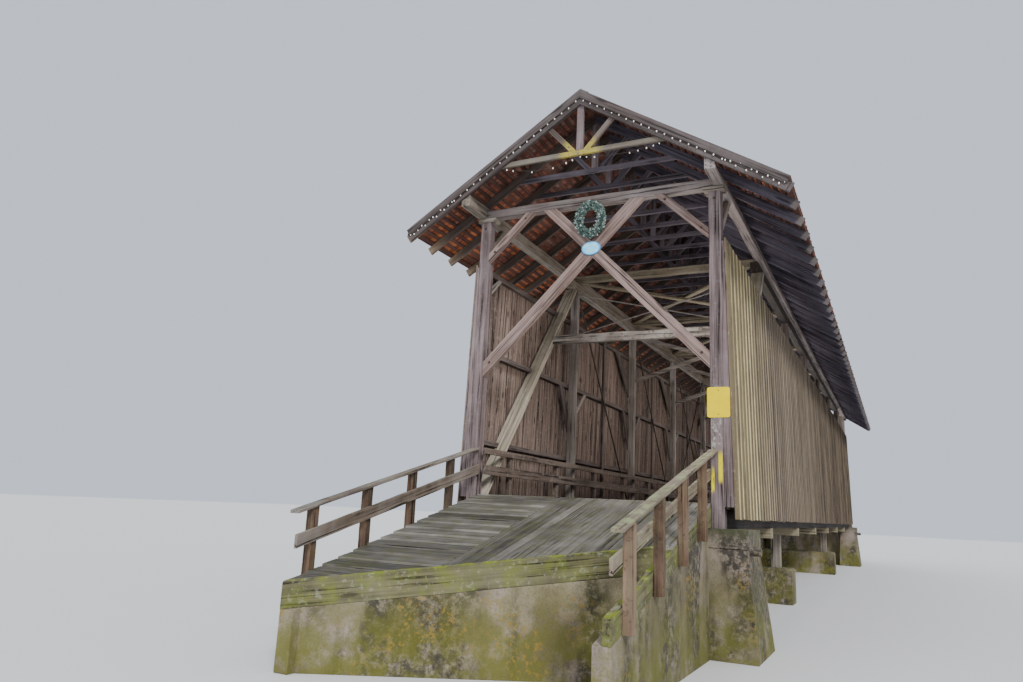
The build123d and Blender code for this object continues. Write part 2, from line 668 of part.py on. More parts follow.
with BuildPart() as left_rafters:
    at_rows([(-x, z) for x, z in rafter_outline], RAFTER_W)
left_rafters.part.label = "left_rafters"

collar_z = DECK_Z + COLLAR_FOOT
collar_top = collar_z + COLLAR_H


def under_rafter_x(z):
    """Distance from the centreline where the rafters' underside is at a height."""
    return (rafter_under_z(0) - z) / PITCH


with BuildPart() as collar_ties:
    at_rows([(-under_rafter_x(collar_z), collar_z), (under_rafter_x(collar_z), collar_z),
             (under_rafter_x(collar_top), collar_top), (-under_rafter_x(collar_top), collar_top)], RAFTER_W)
collar_ties.part.label = "collar_ties"

with BuildPart() as king_posts:
    at_rows([(-KING_W / 2, collar_top), (KING_W / 2, collar_top), (KING_W / 2, rafter_under_z(KING_W / 2)),
             (0, rafter_under_z(0)), (-KING_W / 2, rafter_under_z(KING_W / 2))], RAFTER_W)
king_posts.part.label = "king_posts"

with BuildPart() as fan_struts:
    fan = mitred((FAN_FOOT_X, collar_top), (FAN_HEAD_X, rafter_under_z(FAN_HEAD_X)), FAN_W, LEVEL, (1, -PITCH))
    at_rows(fan, RAFTER_W)
    other_side()
fan_struts.part.label = "fan_struts"

# Roof covering
roof_outline = [(0, RIDGE_Z), (ROOF_HALF, EAVE_Z), (ROOF_HALF, EAVE_Z - ROOF_DROP), (0, RIDGE_Z - ROOF_DROP)]
with BuildPart() as right_roof:
    across(roof_outline, -ROOF_END, ROOF_END)
right_roof.part.label = "right_roof"

with BuildPart() as left_roof:
    across([(-x, z) for x, z in roof_outline], -ROOF_END, ROOF_END)
left_roof.part.label = "left_roof"

with BuildPart() as ridge_cap:
    cap_x = RIDGE_CAP_W * ROOF_COS
    cap_rise = RIDGE_CAP_T / ROOF_COS
    across([(-cap_x, roof_z(cap_x)), (0, RIDGE_Z), (cap_x, roof_z(cap_x)), (cap_x, roof_z(cap_x) + cap_rise),
            (0, RIDGE_Z + cap_rise), (-cap_x, roof_z(cap_x) + cap_rise)], -ROOF_END, ROOF_END)
ridge_cap.part.label = "ridge_cap"


def verge(drop, depth):
    """Outline of two sloping boards that meet under the ridge, with feet cut square to the slope."""
    foot_x = ROOF_HALF - depth * PITCH * ROOF_COS
    foot_z = EAVE_Z - drop - depth * ROOF_COS
    return [(0, RIDGE_Z - drop), (ROOF_HALF, EAVE_Z - drop), (foot_x, foot_z),
            (0, RIDGE_Z - drop - depth / ROOF_COS), (-foot_x, foot_z), (-ROOF_HALF, EAVE_Z - drop)]


with BuildPart() as gable_boards:
    across(verge(ROOF_DROP, GABLE_BOARD_H), -ROOF_END, -ROOF_END + GABLE_BOARD_T)
    across(verge(0, VERGE_STRIP_H), -ROOF_END - VERGE_STRIP_T, -ROOF_END)
    far_end()
gable_boards.part.label = "gable_boards"

# Ramps, drawn for the near end and mirrored
far_y = PORTAL_Y - 2 * RAMP_LONG
past_x = 2 * CLEAR_HALF


def trim_foot(out, x1=CLEAR_HALF):
    """Cut everything past the skewed foot line away."""
    in_plan([(-past_x, skew_y(-past_x, out)), (x1, skew_y(x1, out)), (x1, far_y), (-past_x, far_y)],
            0, 2 * DECK_Z, mode=Mode.SUBTRACT)


def trim_at_slope(drop, keep_z):
    """Cut away what lies across a plane parallel to the ramp from the side to keep."""
    away_z = 2 * DECK_Z if keep_z < DECK_Z else -DECK_Z
    along([(PORTAL_Y, ramp_z(PORTAL_Y, drop)), (far_y, ramp_z(far_y, drop)), (far_y, away_z),
           (PORTAL_Y, away_z)], -past_x, past_x, mode=Mode.SUBTRACT)


stringer_in = CLEAR_HALF - RAMP_STRINGER_W
seat_y = PORTAL_Y - RAMP_WALL_T


def stringer_outline(run):
    """Long-section outline of a ramp stringer of a given length in plan."""
    y1 = PORTAL_Y - run
    return [(PORTAL_Y, ramp_z(PORTAL_Y, RAMP_PLANK_DROP)), (y1, ramp_z(y1, RAMP_PLANK_DROP)),
            (y1, ramp_z(y1, RAMP_UNDER)), (seat_y, ramp_z(seat_y, RAMP_UNDER)), (seat_y, SEAT_Z),
            (PORTAL_Y, SEAT_Z)]


with BuildPart() as ramp_decks:
    y1 = PORTAL_Y - RAMP_LONG
    along([(PORTAL_Y, DECK_Z), (y1, ramp_z(y1)), (y1, ramp_z(y1, RAMP_PLANK_DROP)),
           (PORTAL_Y, DECK_Z - RAMP_PLANK_DROP)], -CLEAR_HALF, CLEAR_HALF)
    trim_foot(0)
    far_end()
ramp_decks.part.label = "ramp_decks"

with BuildPart() as ramp_stringers:
    for n in range(4):
        x0 = -CLEAR_HALF + n * (2 * CLEAR_HALF - RAMP_STRINGER_W) / 4
        along(stringer_outline(RAMP_LONG), x0, x0 + RAMP_STRINGER_W)
    trim_foot(0)
    along(stringer_outline(RAIL_RUN), stringer_in, CLEAR_HALF)
    far_end()
ramp_stringers.part.label = "ramp_stringers"

with BuildPart() as ramp_kerbs:
    in_plan([(-CLEAR_HALF, skew_y(-CLEAR_HALF)), (stringer_in, skew_y(stringer_in)),
             (stringer_in, skew_y(stringer_in, KERB_T)), (-CLEAR_HALF, skew_y(-CLEAR_HALF, KERB_T))],
            0, DECK_Z)
    trim_at_slope(0, keep_z=0)
    trim_at_slope(RAMP_UNDER, keep_z=2 * DECK_Z)
    far_end()
ramp_kerbs.part.label = "ramp_kerbs"

wall_in = CLEAR_HALF - RAMP_WALL_T
with BuildPart() as ramp_side_walls:
    for x0, y1 in ((-CLEAR_HALF, skew_y(-CLEAR_HALF, KERB_T)), (wall_in, PORTAL_Y - RAIL_RUN)):
        along([(seat_y, 0), (y1, 0), (y1, ramp_z(y1, RAMP_UNDER)), (seat_y, ramp_z(seat_y, RAMP_UNDER))],
              x0, x0 + RAMP_WALL_T)
    far_end()
ramp_side_walls.part.label = "ramp_side_walls"

with BuildPart() as ramp_foot_walls:
    out, back = KERB_T, KERB_T - RAMP_WALL_T
    in_plan([(-wall_in, skew_y(-wall_in, out)), (wall_in, skew_y(wall_in, out)),
             (wall_in, skew_y(wall_in, back)), (-wall_in, skew_y(-wall_in, back))], 0, DECK_Z)
    trim_at_slope(RAMP_UNDER, keep_z=0)
    far_end()
ramp_foot_walls.part.label = "ramp_foot_walls"

cap_drop = RAIL_CAP_T / RAMP_COS
with BuildPart() as ramp_rail_posts:
    for n in range(RAIL_POSTS):
        yc = PORTAL_Y - RAIL_POST_FIRST - n * RAIL_POST_PITCH
        ya, yb = yc - RAIL_POST / 2, yc + RAIL_POST / 2
        foot_z = ramp_z(ya, RAMP_UNDER)
        along([(ya, foot_z), (yb, foot_z), (yb, ramp_z(yb, cap_drop - RAIL_TOP)),
               (ya, ramp_z(ya, cap_drop - RAIL_TOP))], CLEAR_HALF, CLEAR_HALF + RAIL_POST)
    other_side()
    far_end()
ramp_rail_posts.part.label = "ramp_rail_posts"

with BuildPart() as ramp_handrails:
    y1 = PORTAL_Y - RAIL_RUN
    along([(PORTAL_Y, ramp_z(PORTAL_Y, -RAIL_TOP)), (y1, ramp_z(y1, -RAIL_TOP)),
           (y1, ramp_z(y1, cap_drop - RAIL_TOP)), (PORTAL_Y, ramp_z(PORTAL_Y, cap_drop - RAIL_TOP))],
          CLEAR_HALF + RAIL_POST - RAIL_CAP_W, CLEAR_HALF + RAIL_POST)
    other_side()
    far_end()
ramp_handrails.part.label = "ramp_handrails"

with BuildPart() as ramp_rail_boards:
    low, high = -RAIL_BOARD_LOW, -RAIL_BOARD_LOW - RAIL_BOARD_H / RAMP_COS
    along([(PORTAL_Y, ramp_z(PORTAL_Y, high)), (y1, ramp_z(y1, high)), (y1, ramp_z(y1, low)),
           (PORTAL_Y, ramp_z(PORTAL_Y, low))], CLEAR_HALF - RAIL_BOARD_T, CLEAR_HALF)
    other_side()
    far_end()
ramp_rail_boards.part.label = "ramp_rail_boards"

# Rails inside the bridge
inner_post_in = TRUSS_IN - INNER_POST
with BuildPart() as inner_rail_posts:
    steps = BAYS * INNER_POSTS_PER_BAY
    for n in range(steps):
        y = PORTAL_Y + (n + 0.5) * SPAN / steps
        block(inner_post_in, TRUSS_IN, y - INNER_POST / 2, y + INNER_POST / 2, DECK_Z, DECK_Z + RAIL_TOP)
    other_side()
inner_rail_posts.part.label = "inner_rail_posts"

with BuildPart() as inner_rails:
    for low, high in ((RAIL_TOP - INNER_BOARD_H, RAIL_TOP), (RAIL_BOARD_LOW, RAIL_BOARD_LOW + RAIL_BOARD_H)):
        block(inner_post_in - RAIL_BOARD_T, inner_post_in, PORTAL_Y, -PORTAL_Y, DECK_Z + low, DECK_Z + high)
    other_side()
inner_rails.part.label = "inner_rails"

# Signs and wreath on the near portal
with BuildPart() as warning_sign:
    with BuildSketch(Plane.XZ.offset(-PORTAL_Y)):
        with Locations((SIGN_IN + SIGN_W / 2, DECK_Z + SIGN_LOW + SIGN_H / 2)):
            RectangleRounded(SIGN_W, SIGN_H, SIGN_CORNER)
    extrude(amount=SIGN_T)
warning_sign.part.label = "warning_sign"

crossing_z = brace_foot[1] + (brace_head[1] - brace_foot[1]) * brace_foot[0] / (brace_foot[0] + brace_head[0])
with BuildPart() as portal_plaque:
    with BuildSketch(Plane.XZ.offset(-PORTAL_Y)):
        with Locations((0, crossing_z)):
            Ellipse(PLAQUE_W / 2, PLAQUE_H / 2)
    extrude(amount=PLAQUE_T)
    chamfer(portal_plaque.edges().group_by(Axis.Y)[0], length=PLAQUE_T / 5)
portal_plaque.part.label = "portal_plaque"


def oval(half_w, half_h):
    """Corners of a many-sided oval about the origin."""
    turns = [2 * math.pi * n / WREATH_SIDES for n in range(WREATH_SIDES)]
    return [(half_w * math.cos(turn), half_h * math.sin(turn)) for turn in turns]


with BuildPart() as wreath:
    wreath_z = PLATE_Z + CROSSBEAM_H - WREATH_DROP
    with BuildSketch(Plane.XZ.offset(-PORTAL_Y)):
        with Locations((0, wreath_z)):
            Polygon(*oval(WREATH_HALF_W, WREATH_HALF_H))
            Polygon(*oval(WREATH_HALF_W - WREATH_RING, WREATH_HALF_H - WREATH_RING), mode=Mode.SUBTRACT)
    extrude(amount=WREATH_T)
    chamfer(wreath.edges().group_by(Axis.Y)[0], length=WREATH_BEVEL)
wreath.part.label = "wreath"

PIECES = (
    piers, abutments, bent_footings, bent_posts, floor_beams, bottom_chords, deck_joists, deck_planks,
    end_posts, truss_posts, top_chords, truss_rods, top_struts, sway_beams, sway_rods, sway_braces,
    lower_laterals, upper_laterals, left_siding, right_siding, wall_girts, wall_studs, girt_knees, wall_plates,
    portal_posts, portal_side_studs, portal_bolsters, portal_crossbeams, rising_braces, falling_braces,
    portal_knees, plate_knees, right_rafters, left_rafters, collar_ties, king_posts, fan_struts,
    right_roof, left_roof, ridge_cap, gable_boards, ramp_decks, ramp_stringers, ramp_kerbs,
    ramp_side_walls, ramp_foot_walls, ramp_rail_posts, ramp_handrails, ramp_rail_boards,
    inner_rail_posts, inner_rails, warning_sign, portal_plaque, wreath,
)
os.makedirs("parts", exist_ok=True)
for piece in PIECES:
    export_step(piece.part, f"parts/{piece.part.label}.step")
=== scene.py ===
"""Covered timber bridge: boards, shingles, timbers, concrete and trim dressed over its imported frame.

Metres. X runs across the bridge to the right, Y along it from the near portal to the far one, and Z up
from the lowest ground. X and Y are 0 in the middle of the bridge.
"""

import logging
import math
from collections.abc import Callable
from dataclasses import dataclass
from enum import Enum

import bpy
import numpy as np
from mathutils import Matrix, Vector


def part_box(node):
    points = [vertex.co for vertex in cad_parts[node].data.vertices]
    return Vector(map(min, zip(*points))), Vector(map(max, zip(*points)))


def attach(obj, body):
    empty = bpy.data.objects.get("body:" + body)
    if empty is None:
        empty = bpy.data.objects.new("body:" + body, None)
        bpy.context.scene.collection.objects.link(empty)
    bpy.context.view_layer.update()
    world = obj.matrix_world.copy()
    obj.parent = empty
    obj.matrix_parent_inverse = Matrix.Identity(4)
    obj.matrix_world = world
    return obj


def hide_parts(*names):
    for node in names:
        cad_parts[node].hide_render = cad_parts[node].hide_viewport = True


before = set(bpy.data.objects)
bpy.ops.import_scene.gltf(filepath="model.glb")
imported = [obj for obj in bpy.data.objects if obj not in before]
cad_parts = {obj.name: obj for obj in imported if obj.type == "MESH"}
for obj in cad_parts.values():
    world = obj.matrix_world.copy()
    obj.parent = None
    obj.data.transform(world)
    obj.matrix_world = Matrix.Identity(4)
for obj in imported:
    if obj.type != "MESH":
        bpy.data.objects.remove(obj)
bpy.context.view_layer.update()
LOG = logging.getLogger("covered_bridge")
BODY = "root"
TAU = 2 * math.pi

# Places read from the frame
DECK_LOW, DECK_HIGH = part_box("deck_planks")
DECK_Z = DECK_HIGH.z
PORTAL_Y = DECK_LOW.y
ROOF_LOW, ROOF_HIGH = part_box("right_roof")
POST_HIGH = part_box("portal_posts")[1]
COLLAR_LOW, COLLAR_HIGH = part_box("collar_ties")
RAMP_LOW, RAMP_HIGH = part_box("ramp_decks")

# Not seen in the boxes: the roof's thickness, and a ramp's climb and its foot's skew for each metre
ROOF_T = 0.055
RAMP_SLOPE = 0.26
RAMP_SKEW = 2.3 / 3.96

# Lengths of the two waves that make a timber uneven, and the largest shifts of its grain by chance
LONG_WAVE = 1.15
SHORT_WAVE = 0.41
GRAIN_SHIFT = (40.0, 3.0, 3.0)

SOOT = (0.012, 0.009, 0.008)
OLD_YELLOW = (0.80, 0.68, 0.0)
PALE_FLAKES = (0.36, 0.38, 0.32)


def roof_slope() -> float:
    """Fall of the roof for each metre out, as (height - thickness / cos) / width of one side's box.

    Returns:
        The fall, found by putting each result back into the formula.
    """
    width = ROOF_HIGH.x - ROOF_LOW.x
    height = ROOF_HIGH.z - ROOF_LOW.z
    slope = height / width
    for _ in range(30):
        slope = (height - ROOF_T * math.hypot(1, slope)) / width
    return slope


class Side(Enum):
    """Side of the bridge, seen from in front of the near portal."""

    LEFT = -1
    RIGHT = 1

    @property
    def word(self) -> str:
        """The side's name in the names of nodes and pieces."""
        return self.name.lower()

    def holds(self, corners: np.ndarray) -> bool:
        """Whether a solid stands on this side."""
        return corners[:, 0].mean() * self.value > 0


class Facing(Enum):
    """Which way a row of bolts points."""

    NEAR = (0.0, -1.0, 0.0)
    FAR = (0.0, 1.0, 0.0)


class Wired:
    """A shader socket that can be added, subtracted and multiplied in Python."""

    def __init__(self, shader: "Shader", link: bpy.types.NodeSocket) -> None:
        """Keep the shader and the socket."""
        self.shader = shader
        self.link = link

    def _math(self, operation: str, *values: "Wired | float") -> "Wired":
        """Add one Math node.

        Args:
            operation: the Math node's operation.
            values: its inputs, as sockets or numbers.

        Returns:
            The node's result.
        """
        return self.shader.node("ShaderNodeMath", {"operation": operation}, dict(enumerate(values)))

    def __add__(self, other: "Wired | float") -> "Wired":
        """Sum."""
        return self._math("ADD", self, other)

    __radd__ = __add__

    def __sub__(self, other: "Wired | float") -> "Wired":
        """Difference."""
        return self._math("SUBTRACT", self, other)

    def __rsub__(self, other: float) -> "Wired":
        """Difference from a number."""
        return self._math("SUBTRACT", other, self)

    def __mul__(self, other: "Wired | float") -> "Wired":
        """Product."""
        return self._math("MULTIPLY", self, other)

    __rmul__ = __mul__

    def absolute(self) -> "Wired":
        """Size without its sign."""
        return self._math("ABSOLUTE", self)

    def clamped(self) -> "Wired":
        """Limit to between nought and one."""
        return self.shader.node("ShaderNodeClamp", {}, {0: self})

    def between(self, low: float, high: float) -> "Wired":
        """Smooth step from nought at low to one at high.

        Args:
            low: value where the step starts.
            high: value where the step ends.

        Returns:
            The stepped value.
        """
        settings = {"interpolation_type": "SMOOTHSTEP"}
        return self.shader.node("ShaderNodeMapRange", settings, {0: self, 1: low, 2: high})


class Shader:
    """One material's node tree, built from expressions."""

    def __init__(self, name: str) -> None:
        """Make an empty material with a Principled shader.

        Args:
            name: the material's name.
        """
        self.material = bpy.data.materials.new(name)
        self.material.use_nodes = True
        self.tree = self.material.node_tree
        self.surface = self.tree.nodes["Principled BSDF"]

    def node(self, kind: str, settings: dict, inputs: dict, output: int | str = 0) -> Wired:
        """Add one node.

        Args:
            kind: the node's type.
            settings: attributes set first.
            inputs: values or sockets by input name or number.
            output: which output is returned.

        Returns:
            The chosen output.
        """
        made = self.tree.nodes.new(kind)
        for key, value in settings.items():
            setattr(made, key, value)
        for key, value in inputs.items():
            self._feed(made.inputs[key], value)
        return Wired(self, made.outputs[output])

    def _feed(self, socket: bpy.types.NodeSocket, value: "Wired | float | tuple") -> None:
        """Link or set one input."""
        if isinstance(value, Wired):
            self.tree.links.new(value.link, socket)
        elif isinstance(value, tuple) and len(value) == 3 and socket.type == "RGBA":
            socket.default_value = (*value, 1.0)
        else:
            socket.default_value = value

    def feed(self, name: str, value: "Wired | float | tuple") -> None:
        """Link or set one input of the surface shader."""
        self._feed(self.surface.inputs[name], value)

    def attribute(self, name: str, output: str = "Vector") -> Wired:
        """Read one of the mesh's own attributes."""
        return self.node("ShaderNodeAttribute", {"attribute_name": name}, {}, output)

    def place(self) -> Wired:
        """Object coordinates."""
        return self.node("ShaderNodeTexCoord", {}, {}, "Object")

    def scaled(self, vector: Wired, scale: tuple) -> Wired:
        """Multiply a vector by another, part by part."""
        return self.node("ShaderNodeVectorMath", {"operation": "MULTIPLY"}, {0: vector, 1: scale})

    def parts(self, vector: Wired) -> tuple:
        """Split a vector into its three numbers."""
        first = self.node("ShaderNodeSeparateXYZ", {}, {0: vector})
        return tuple(Wired(self, part) for part in first.link.node.outputs)

    def noise(self, vector: Wired, scale: float, detail: float = 3.0, rough: float = 0.55) -> Wired:
        """Cloudy noise between nought and one.

        Args:
            vector: coordinates.
            scale: features per metre.
            detail: octaves.
            rough: weight of the finer octaves.

        Returns:
            The noise value.
        """
        inputs = {"Vector": vector, "Scale": scale, "Detail": detail, "Roughness": rough}
        return self.node("ShaderNodeTexNoise", {}, inputs)

    def mix(self, factor: "Wired | float", low: "Wired | tuple", high: "Wired | tuple") -> Wired:
        """Blend two colours."""
        return self.node("ShaderNodeMix", {"data_type": "RGBA"}, {0: factor, 6: low, 7: high}, 2)

    def bump(self, height: Wired, strength: float, distance: float) -> None:
        """Feed a bump into the surface's normal."""
        inputs = {"Height": height, "Strength": strength, "Distance": distance}
        self.feed("Normal", self.node("ShaderNodeBump", {}, inputs))

    def facing_up(self) -> Wired:
        """Upward part of the face's normal."""
        return self.parts(self.node("ShaderNodeNewGeometry", {}, {}, "True Normal"))[2]


class Grained(Shader):
    """A wood's node tree, with the noises, places and attributes that all its layers read."""

    def __init__(self, name: str, knot_size: tuple) -> None:
        """Wire them; the wood's own noises are stretched along its grain.

        Args:
            name: the material's name.
            knot_size: cells for each metre along, across and through the timber.
        """
        super().__init__(name)
        grain = self.attribute("grain")
        self.tone = self.attribute("tone", "Fac")
        self.outside = self.attribute("outside", "Fac")
        self.here = self.place()
        self.across, self.along, self.height = self.parts(self.here)
        self.out = self.across.absolute()
        self.fibres = self.noise(self.scaled(grain, (1.6, 60.0, 60.0)), 1.0, 4.0, 0.62)
        self.bands = self.noise(self.scaled(grain, (0.45, 17.0, 17.0)), 1.0, 4.0, 0.6)
        self.cracks = self.noise(self.scaled(grain, (0.7, 30.0, 30.0)), 1.0, 2.0).between(0.57, 0.66)
        self.patches = self.noise(self.here, 0.9, 4.0, 0.6)
        self.blots = self.noise(self.scaled(self.here, (1.0, 1.0, 0.45)), 3.3, 3.0, 0.6)
        cells = {"Vector": self.scaled(grain, knot_size), "Scale": 1.0}
        self.knots = 1.0 - self.node("ShaderNodeTexVoronoi", {}, cells).between(0.10, 0.22)
        self.lines = self.fibres.between(0.34, 0.66) * 0.35 + self.bands.between(0.38, 0.62) * 0.65


@dataclass(frozen=True)
class Daub:
    """Broken old paint on the front of the right portal post, its heights above the deck."""

    left: float
    right: float
    foot: float
    top: float
    colour: tuple
    flaked: bool = False
    soft: float = 0.02

    def brush(self, s: Grained, body: Wired) -> Wired:
        """Lay the paint on.

        Args:
            s: the wood's shader.
            body: colour under the paint.

        Returns:
            The colour with the paint on it.
        """
        if self.flaked:
            broken = s.noise(s.scaled(s.here, (22.0, 22.0, 12.0)), 1.0, 5.0, 0.7).between(0.50, 0.57) * 0.7
        else:
            broken = s.noise(s.scaled(s.here, (40.0, 40.0, 6.0)), 1.0, 3.0).between(0.34, 0.42)
        foot, top = DECK_Z + self.foot, DECK_Z + self.top
        across = s.across.between(self.left, self.left + self.soft)
        across = across * (1.0 - s.across.between(self.right - self.soft, self.right))
        tall = s.height.between(foot, foot + 0.1) * (1.0 - s.height.between(top - 0.15, top))
        front = 1.0 - s.along.between(PORTAL_Y, PORTAL_Y + 0.3)
        return s.mix(across * tall * front * broken, body, self.colour)


DAUBS = (Daub(2.085, 2.165, 0.26, 0.80, OLD_YELLOW),
         Daub(1.965, 2.045, 0.12, 0.56, OLD_YELLOW),
         Daub(1.985, 2.16, 0.70, 1.80, PALE_FLAKES, flaked=True))


@dataclass(frozen=True)
class WoodFinish:
    """Old outdoor timber: fibres, broad bands, drying cracks, weathering, moss and lichen.

    The portal_light and the corner_sunlight are painted light: colours that grow with the distance in
    front of the bridge's middle, over the metres that their two numbers give. The eave_light is painted
    light within its reach of the roof's edge, and inner holds the heart and fibre colours of the side of a
    board or shingle that faces in, with its colour under painted light towards the near portal.
    """

    name: str
    heart: tuple
    fibre: tuple
    grey: tuple
    weather: float = 0.5
    crack: float = 0.6
    spread: float = 0.35
    moss: float = 0.0
    moss_colour: tuple = (0.10, 0.12, 0.03)
    lichen: float = 0.0
    lichen_colour: tuple = (0.52, 0.44, 0.05)
    lichen_reach: float = 0.0
    rough: float = 0.82
    relief: float = 0.5
    inner: tuple | None = None
    portal_light: tuple | None = None
    portal_light_from: float = -4.0
    portal_light_to: float = 15.0
    corner_sunlight: tuple | None = None
    corner_sunlight_from: float = 10.5
    corner_sunlight_to: float = 15.2
    eave_light: tuple | None = None
    eave_light_reach: float = 0.7
    knotty: float = 0.7
    knot_size: tuple = (1.1, 6.5, 6.5)
    blotchy: float = 0.7
    inner_blotchy: float = 0.0
    wet: float = 0.0
    damp: float = 0.0
    daubs: tuple = ()

    def build(self) -> bpy.types.Material:
        """Make the material.

        Returns:
            A material that reads the mesh's grain, tone and outside attributes.
        """
        s = Grained(self.name, self.knot_size)
        body = self.timber(s)
        body = self.sunlit(s, body)
        body = self.blotted(s, body)
        body = self.overgrown(s, body)
        for daub in self.daubs:
            body = daub.brush(s, body)
        if self.damp:
            body = s.mix(s.facing_up().between(0.5, 0.9) * self.damp, body, self.darker(0.7))
        rough = self.rough + (s.fibres - 0.5) * 0.2
        if self.wet:
            pools = s.noise(s.here, 1.6, 3.0, 0.55).between(0.50, 0.62) * self.wet
            body = s.mix(pools * 0.45, body, self.darker(0.3))
            rough = rough - pools * 0.45
        s.feed("Base Color", body)
        s.feed("Roughness", rough.clamped())
        s.feed("Specular IOR Level", 0.25)
        s.bump(s.fibres * 0.5 + s.bands * 0.3 - s.cracks * 0.9, self.relief, 0.004)
        return s.material

    def darker(self, share: float) -> tuple:
        """The heart's colour times a share."""
        return tuple(share * c for c in self.heart)

    def sun(self, s: Grained) -> Wired:
        """Share of painted light on a place, from how far it stands in front of the middle."""
        return (0.0 - s.along).between(self.portal_light_from, self.portal_light_to)

    def timber(self, s: Grained) -> Wired:
        """Colour of the wood itself, greyed by the weather, with its cracks and knots.

        Args:
            s: the wood's shader.

        Returns:
            The colour.
        """
        body = s.mix(s.lines, self.heart, self.fibre)
        worn = (s.patches.between(0.35, 0.75) * self.weather + s.bands * 0.3 * self.weather).clamped()
        if self.inner is not None:
            # The third inner colour is painted light on the side that faces in, growing towards the near
            # portal.
            heart, fibre, pale = self.inner
            share = s.fibres.between(0.25, 0.75) * 0.55 + s.bands.between(0.3, 0.7) * 0.3 + 0.15
            inner = s.mix(self.sun(s) * s.lines * 0.8, s.mix(share, heart, fibre), pale)
            body = s.mix(s.outside, inner, body)
            worn = worn * s.outside
        body = s.mix(worn, body, self.grey)
        body = s.mix(s.cracks * self.crack, body, self.darker(0.25))
        return s.mix(s.knots * self.knotty, body, self.darker(0.4))

    def sunlit(self, s: Grained, body: Wired) -> Wired:
        """Paint light on: the wood towards the near portal, the right wall's near corner, and the eaves.

        Args:
            s: the wood's shader.
            body: colour so far.

        Returns:
            The lighter colour.
        """
        # Painted light: the outside grows paler towards the near portal.
        if self.portal_light is not None:
            portal_lit = self.sun(s) * (s.lines * 0.8 + 0.3) * s.outside
            body = s.mix(portal_lit.clamped(), body, self.portal_light)
        # Painted sunlight on the near corner of the right-hand side.
        if self.corner_sunlight is not None:
            corner = (0.0 - s.along).between(self.corner_sunlight_from, self.corner_sunlight_to) * (s.lines * 0.5 + 0.5)
            corner = corner * (s.blots.between(0.32, 0.58) * 0.5 + 0.6) * (s.tone * 0.5 + 0.7)
            corner = corner * s.across.between(0.0, 1.0)
            body = s.mix((corner * s.outside).clamped(), body, self.corner_sunlight)
        # Painted light near the roof's edge; on a side that faces in, only in patches.
        if self.eave_light is not None:
            eave_lit = s.out.between(ROOF_HIGH.x - self.eave_light_reach, ROOF_HIGH.x - 0.05) * (s.lines * 0.6 + 0.3)
            if self.inner is not None:
                eave_lit = eave_lit * (1.0 - s.outside) * s.patches.between(0.40, 0.56)
            body = s.mix(eave_lit, body, self.eave_light)
        return body

    def blotted(self, s: Grained, body: Wired) -> Wired:
        """Darken or grey each timber by its own tone, and blot it.

        Args:
            s: the wood's shader.
            body: colour so far.

        Returns:
            The uneven colour.
        """
        shade = (s.tone - 0.5) * self.spread + (s.blots - 0.5) * self.blotchy
        if self.inner_blotchy:
            shade = shade + (s.blots - 0.5) * self.inner_blotchy * (1.0 - s.outside)
        body = s.mix((0.0 - shade).clamped(), body, SOOT)
        return s.mix(shade.clamped() * 0.7, body, self.grey)

    def overgrown(self, s: Grained, body: Wired) -> Wired:
        """Grow moss on what faces up, and lichen in spots or, with a reach, near the ridge's post.

        Args:
            s: the wood's shader.
            body: colour so far.

        Returns:
            The overgrown colour.
        """
        if self.moss:
            up = (s.facing_up() * 0.8 + 0.25).clamped()
            mossy = (s.noise(s.here, 4.5, 5.0, 0.7).between(0.42, 0.68) * up * self.moss).clamped()
            body = s.mix(mossy, body, self.moss_colour)
        if self.lichen:
            spots = s.noise(s.here, 14.0, 4.0, 0.7)
            crust = spots.between(0.56, 0.64) * self.lichen
            if self.lichen_reach:
                near = 1.0 - s.out.between(self.lichen_reach * 0.45, self.lichen_reach)
                near = near * (1.0 - s.height.between(COLLAR_HIGH.z + 0.05, COLLAR_HIGH.z + 0.4))
                crust = (crust + near * spots.between(0.34, 0.5)) * (near + 0.12).clamped()
            body = s.mix(crust.clamped(), body, self.lichen_colour)
        return body


